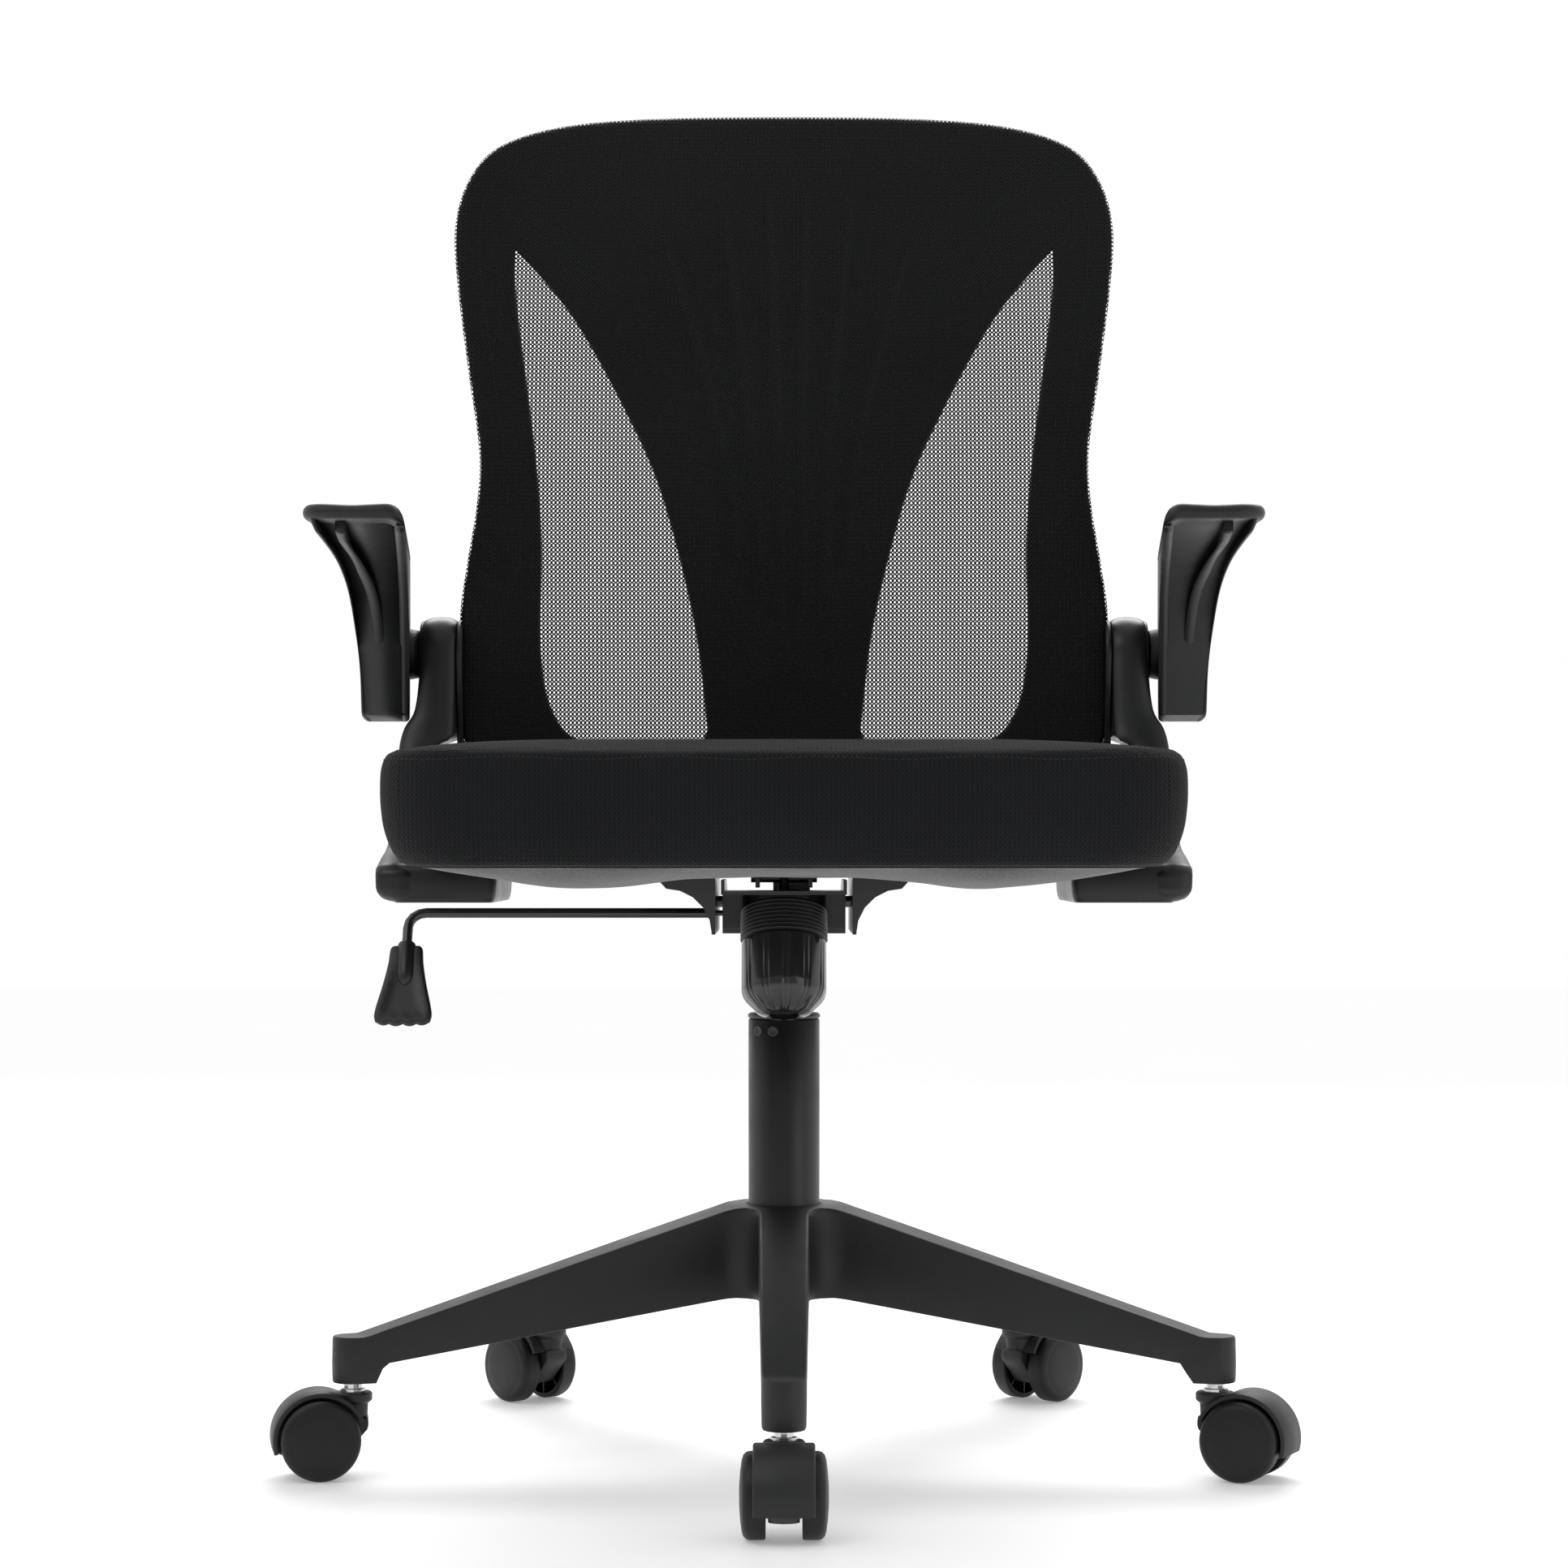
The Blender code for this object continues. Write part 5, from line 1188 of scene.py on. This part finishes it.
# ================================================================ star base
STEM_REACH = Vector(JOINTS["caster_front_swivel"]["pos_m"]).xy.length
LEG_TURNS = [2 * math.pi * k / 5 for k in range(5)]
LEG_ROOT_HALF = 0.0176
LEG_END_HALF = 0.0142
HUB_FILLET = 0.0200
LEG_WALL = 0.0030


def leg_half(reach):
    """Half the width of a leg at this distance from the column's axis."""
    share = np.clip((reach - 0.052) / (STEM_REACH - 0.052), 0, 1)
    return LEG_ROOT_HALF + (LEG_END_HALF - LEG_ROOT_HALF) * share


def leg_top(reach):
    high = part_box("star_base")[1].z
    slope = high - 0.0015 - (reach - 0.046) * 0.3100
    end = 0.0935 + 0.0018 * np.clip((reach - 0.284) / 0.004, 0, 1)
    return np.minimum(high, np.maximum(slope, end) - 0.0002)


def leg_bottom(reach):
    """Underside, which drops to the boss round the caster's stem."""
    slope = 0.1125 - np.maximum(reach - 0.046, 0) * 0.1490
    boss = np.clip((reach - (STEM_REACH - 0.0185)) / 0.0040, 0, 1)
    return slope + (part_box("star_base")[0].z + 0.0001 - slope) * boss


def star_outline():
    """Plan of the five legs: round ends, straight sides and wide fillets between them."""
    outline = []
    for turn in LEG_TURNS:
        leg = [(-leg_half(r), -r) for r in np.linspace(0.060, STEM_REACH, 12)]
        leg += [(-LEG_END_HALF * math.cos(a), -STEM_REACH - LEG_END_HALF * math.sin(a))
                for a in np.linspace(0, math.pi, 14)[1:-1]]
        leg += [(leg_half(r), -r) for r in np.linspace(STEM_REACH, 0.060, 12)]
        away = (LEG_ROOT_HALF + HUB_FILLET) / math.sin(math.radians(36))
        centre = np.array((math.sin(math.radians(36)), -math.cos(math.radians(36)))) * away
        leg += [tuple(centre + HUB_FILLET * np.array((-math.cos(a), math.sin(a))))
                for a in np.radians(np.linspace(0, 108, 14))]
        outline += [(x * math.cos(turn) - y * math.sin(turn), x * math.sin(turn) + y * math.cos(turn))
                    for x, y in leg]
    return np.array(outline)


def star_base():
    """Moulded base: one filleted star, hollow underneath, with ribs across each leg."""
    outline = star_outline()
    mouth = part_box("column_tube")[1].x + 0.0002
    hole = np.array([(mouth * math.cos(a), mouth * math.sin(a))
                     for a in np.linspace(0, 2 * math.pi, 60)[:-1]])

    def place(u, v, w):
        reach = np.hypot(u, v)
        top, bottom = leg_top(reach), leg_bottom(reach)
        share = np.sign(w) * (1 - (1 - np.clip(w * w, 0, 1)) ** 3) ** (1 / 6)
        away = distance_to(np.column_stack([u, v]), [outline])
        open_leg = np.clip((away - LEG_WALL) / 0.0015, 0, 1) * np.clip((reach - 0.040) / 0.003, 0, 1)
        open_leg *= np.clip((STEM_REACH - 0.0170 - reach) / 0.002, 0, 1) * (w < 0)
        return u, v, (top + bottom) / 2 + share * (top - bottom) / 2 + open_leg * (top - bottom - 0.0040)

    body = slab("body", [outline, hole], 1.0, 0.0026, 0.0048, place, step=0.0045)
    ribs = []
    for turn in LEG_TURNS:
        for reach in np.linspace(0.075, 0.265, 6):
            half, low, high = leg_half(reach) - 0.002, leg_bottom(reach) + 0.002, leg_top(reach) - 0.002
            rings = [[(-half, y, low), (half, y, low), (half, y, high), (-half, y, high)]
                     for y in (-reach - 0.0008, -reach + 0.0008)]
            ribs.append(loft("rib", rings))
            ribs[-1].data.transform(Matrix.Rotation(turn, 4, "Z"))
        rings = []
        for reach in (0.044, 0.160, 0.286):
            low, high = leg_bottom(reach) + 0.002, leg_top(reach) - 0.002
            rings.append([(-0.0009, -reach, low), (0.0009, -reach, low), (0.0009, -reach, high),
                          (-0.0009, -reach, high)])
        ribs.append(loft("spine", rings))
        ribs[-1].data.transform(Matrix.Rotation(turn, 4, "Z"))
    star = join_all("star_moulding", [body, *ribs])
    sharpen(star, 45)
    show(star, "nylon", "base", "star_base")


# ================================================================ casters
def caster_wheel(home, yaw, side, label):
    """Nylon wheel: rounded tread, domed cover outside, hub and eight ribs inside."""
    r, inner, outer = WHEEL_R, WHEEL_INNER_X, WHEEL_OUTER_X
    shell = spun("shell", [(r - 0.0035, inner), (r - 0.0008, inner), (r, inner + 0.0010),
                           (r, outer - 0.0062), (r - 0.0006, outer - 0.0042), (r - 0.0024, outer - 0.0024),
                           (r - 0.0056, outer - 0.0014), (r - 0.0064, outer - 0.0015),
                           (r - 0.0072, outer - 0.0012), (r - 0.0120, outer - 0.0006), (0.007, outer),
                           (0, outer), (0, outer - 0.0030), (r - 0.0060, outer - 0.0050),
                           (r - 0.0035, outer - 0.0075)], 64, closed=False)
    hub = spun("hub", [(0.0032, inner), (0.0062, inner), (0.0066, outer - 0.0034),
                       (0.0032, outer - 0.0030)], 32)
    pieces = [shell, hub]
    for k in range(8):
        a = 2 * math.pi * k / 8
        way = Vector((math.cos(a), math.sin(a), 0))
        across = Vector((-math.sin(a), math.cos(a), 0)) * 0.0007
        rings = [[way * d + across * s + Vector((0, 0, z)) for s, z in
                  ((-1, inner + 0.0018), (1, inner + 0.0018), (1, outer - 0.0040), (-1, outer - 0.0040))]
                 for d in (0.006, r - 0.003)]
        pieces.append(loft("rib", rings))
    wheel = join_all(label, pieces)
    turn = Matrix.Rotation(yaw, 4, "Z")
    lay = Matrix.Rotation(side * math.pi / 2, 4, "Y")
    wheel.data.transform(Matrix.Translation((home.x, home.y, 0)) @ turn
                         @ Matrix.Translation((0, -CASTER_TRAIL, WHEEL_R)) @ lay)
    wheel.data.update()
    sharpen(wheel, 32)
    return wheel


def caster_hood(home, yaw, label):
    """Hood over both wheels with its web, socket and axle."""
    axle_y, axle_z = -CASTER_TRAIL, WHEEL_R
    outer, wall = HOOD_R, 0.0028
    rows = []
    for k in range(33):
        a = math.radians(196 - 172 * k / 32)
        ring = []
        half = 0.0192
        for x, r in ((-half, outer - wall), (-half, outer - 0.0013), (-half + 0.0005, outer - 0.0005),
                     (-half + 0.0014, outer), (half - 0.0014, outer), (half - 0.0005, outer - 0.0005),
                     (half, outer - 0.0013), (half, outer - wall)):
            ring.append((x, axle_y + r * math.cos(a), axle_z + r * math.sin(a)))
        rows.append(ring)
    hood = loft("hood", rows)
    outline = [(axle_y + (outer - 0.0012) * math.cos(math.radians(190 - 166 * k / 24)),
                axle_z + (outer - 0.0012) * math.sin(math.radians(190 - 166 * k / 24))) for k in range(25)]
    outline += [(0.0105, 0.0420), (0.0105, 0.0330), (-0.006, 0.0150), (-0.022, 0.0115), (-0.036, 0.0115),
                (-0.0525, 0.0180)]
    web = slab("web", [np.array(outline)], 0.0098, 0.0012, 0.006, lambda u, v, w: (w, u, v), step=0.003)
    socket = spun("socket", [(0.0056, 0.0345), (0.0098, 0.0345), (0.0104, 0.0495), (0.0126, 0.0512),
                             (0.0132, 0.0522), (0.0132, 0.0562), (0.0122, 0.0572), (0.0056, 0.0572)], 48)
    shaft = rib_bar((-0.0262, axle_y, axle_z), (0.0262, axle_y, axle_z), 0.003)
    body = join_all(label, [hood, web, socket, shaft])
    body.data.transform(Matrix.Translation((home.x, home.y, 0)) @ Matrix.Rotation(yaw, 4, "Z"))
    body.data.update()
    sharpen(body, 34)
    return body


def build_base():
    star_base()
    build_casters()


def build_casters():
    for place in ("front", "left", "rear_left", "rear_right", "right"):
        home = Vector(JOINTS[f"caster_{place}_swivel"]["pos_m"])
        axle = Vector(JOINTS[f"caster_{place}_spin_a"]["pos_m"])
        yaw = math.atan2(axle.x - home.x, -(axle.y - home.y))
        hood = caster_hood(home, yaw, f"caster_{place}_hood")
        show(hood, "nylon", f"caster_{place}", f"caster_{place}_housing")
        for side, letter in ((-1, "a"), (1, "b")):
            wheel = caster_wheel(home, yaw, side, f"caster_{place}_tyre_{letter}")
            show(wheel, "wheel", f"caster_{place}_wheel_{letter}", f"caster_{place}_wheel_{letter}")


# ================================================================ stage
def area_light(name, location, target, size, power, color=(1, 1, 1)):
    data = bpy.data.lights.new(name, "AREA")
    data.shape = "RECTANGLE"
    data.size, data.size_y = size
    data.energy = power
    data.color = color
    light = bpy.data.objects.new(name, data)
    bpy.context.scene.collection.objects.link(light)
    light.location = location
    light.rotation_euler = (Vector(target) - Vector(location)).to_track_quat("-Z", "Y").to_euler()
    return light


def make_stage():
    scene = bpy.context.scene
    world = bpy.data.worlds.new("studio")
    world.use_nodes = True
    tree = world.node_tree
    sky = tree.nodes["Background"]
    sky.inputs[0].default_value = (1, 1, 1, 1)
    axes = tree.nodes.new("ShaderNodeSeparateXYZ")
    tree.links.new(tree.nodes.new("ShaderNodeTexCoord").outputs["Generated"], axes.inputs[0])
    fade = tree.nodes.new("ShaderNodeMapRange")      # a bright sweep behind, a dim studio in front
    tree.links.new(axes.outputs[1], fade.inputs["Value"])
    for key, value in (("From Min", -0.7), ("From Max", 0.15), ("To Min", STUDIO_DIM), ("To Max", 1.0)):
        fade.inputs[key].default_value = value
    tree.links.new(fade.outputs["Result"], sky.inputs[1])
    scene.world = world
    size = 9.0
    corners = [(-size, -size, 0), (size, -size, 0), (size, size, 0), (-size, size, 0)]
    floor = new_object("studio_floor", corners, [(0, 1, 2, 3)], smooth=False)
    s = Shader("pale floor", (0.86, 0.86, 0.86), 0.55)
    s.tint(s.spread(s.noise(3.0, 3.0), 0.0, 1.0), 0.985, 1.01)
    s.set("Emission Color", (1, 1, 1, 1))
    s.set("Emission Strength", 0.24)
    floor.data.materials.append(s.mat)
    floor.location.z = -0.0002
    area_light("key", (-1.3, -1.6, 2.4), (0, 0, 0.3), (1.6, 1.2), 13)
    area_light("fill", (1.8, -1.6, 1.0), (0, 0, 0.3), (1.2, 1.6), 5)
    area_light("back", (0.2, 2.0, 2.4), (0, 0, 0.4), (2.6, 1.4), 60)
    data = bpy.data.cameras.new("camera")
    data.lens = 86.85
    data.sensor_width = 36.0
    camera = bpy.data.objects.new("camera", data)
    scene.collection.objects.link(camera)
    camera.location = (0.0, -2.663, 0.424)
    camera.rotation_euler = (math.radians(90.993), 0, 0)
    scene.camera = camera
    scene.view_settings.view_transform = "Standard"


dress_nodes()
build_back()
build_seat()
build_arms()
build_mechanism()
build_base()
make_stage()
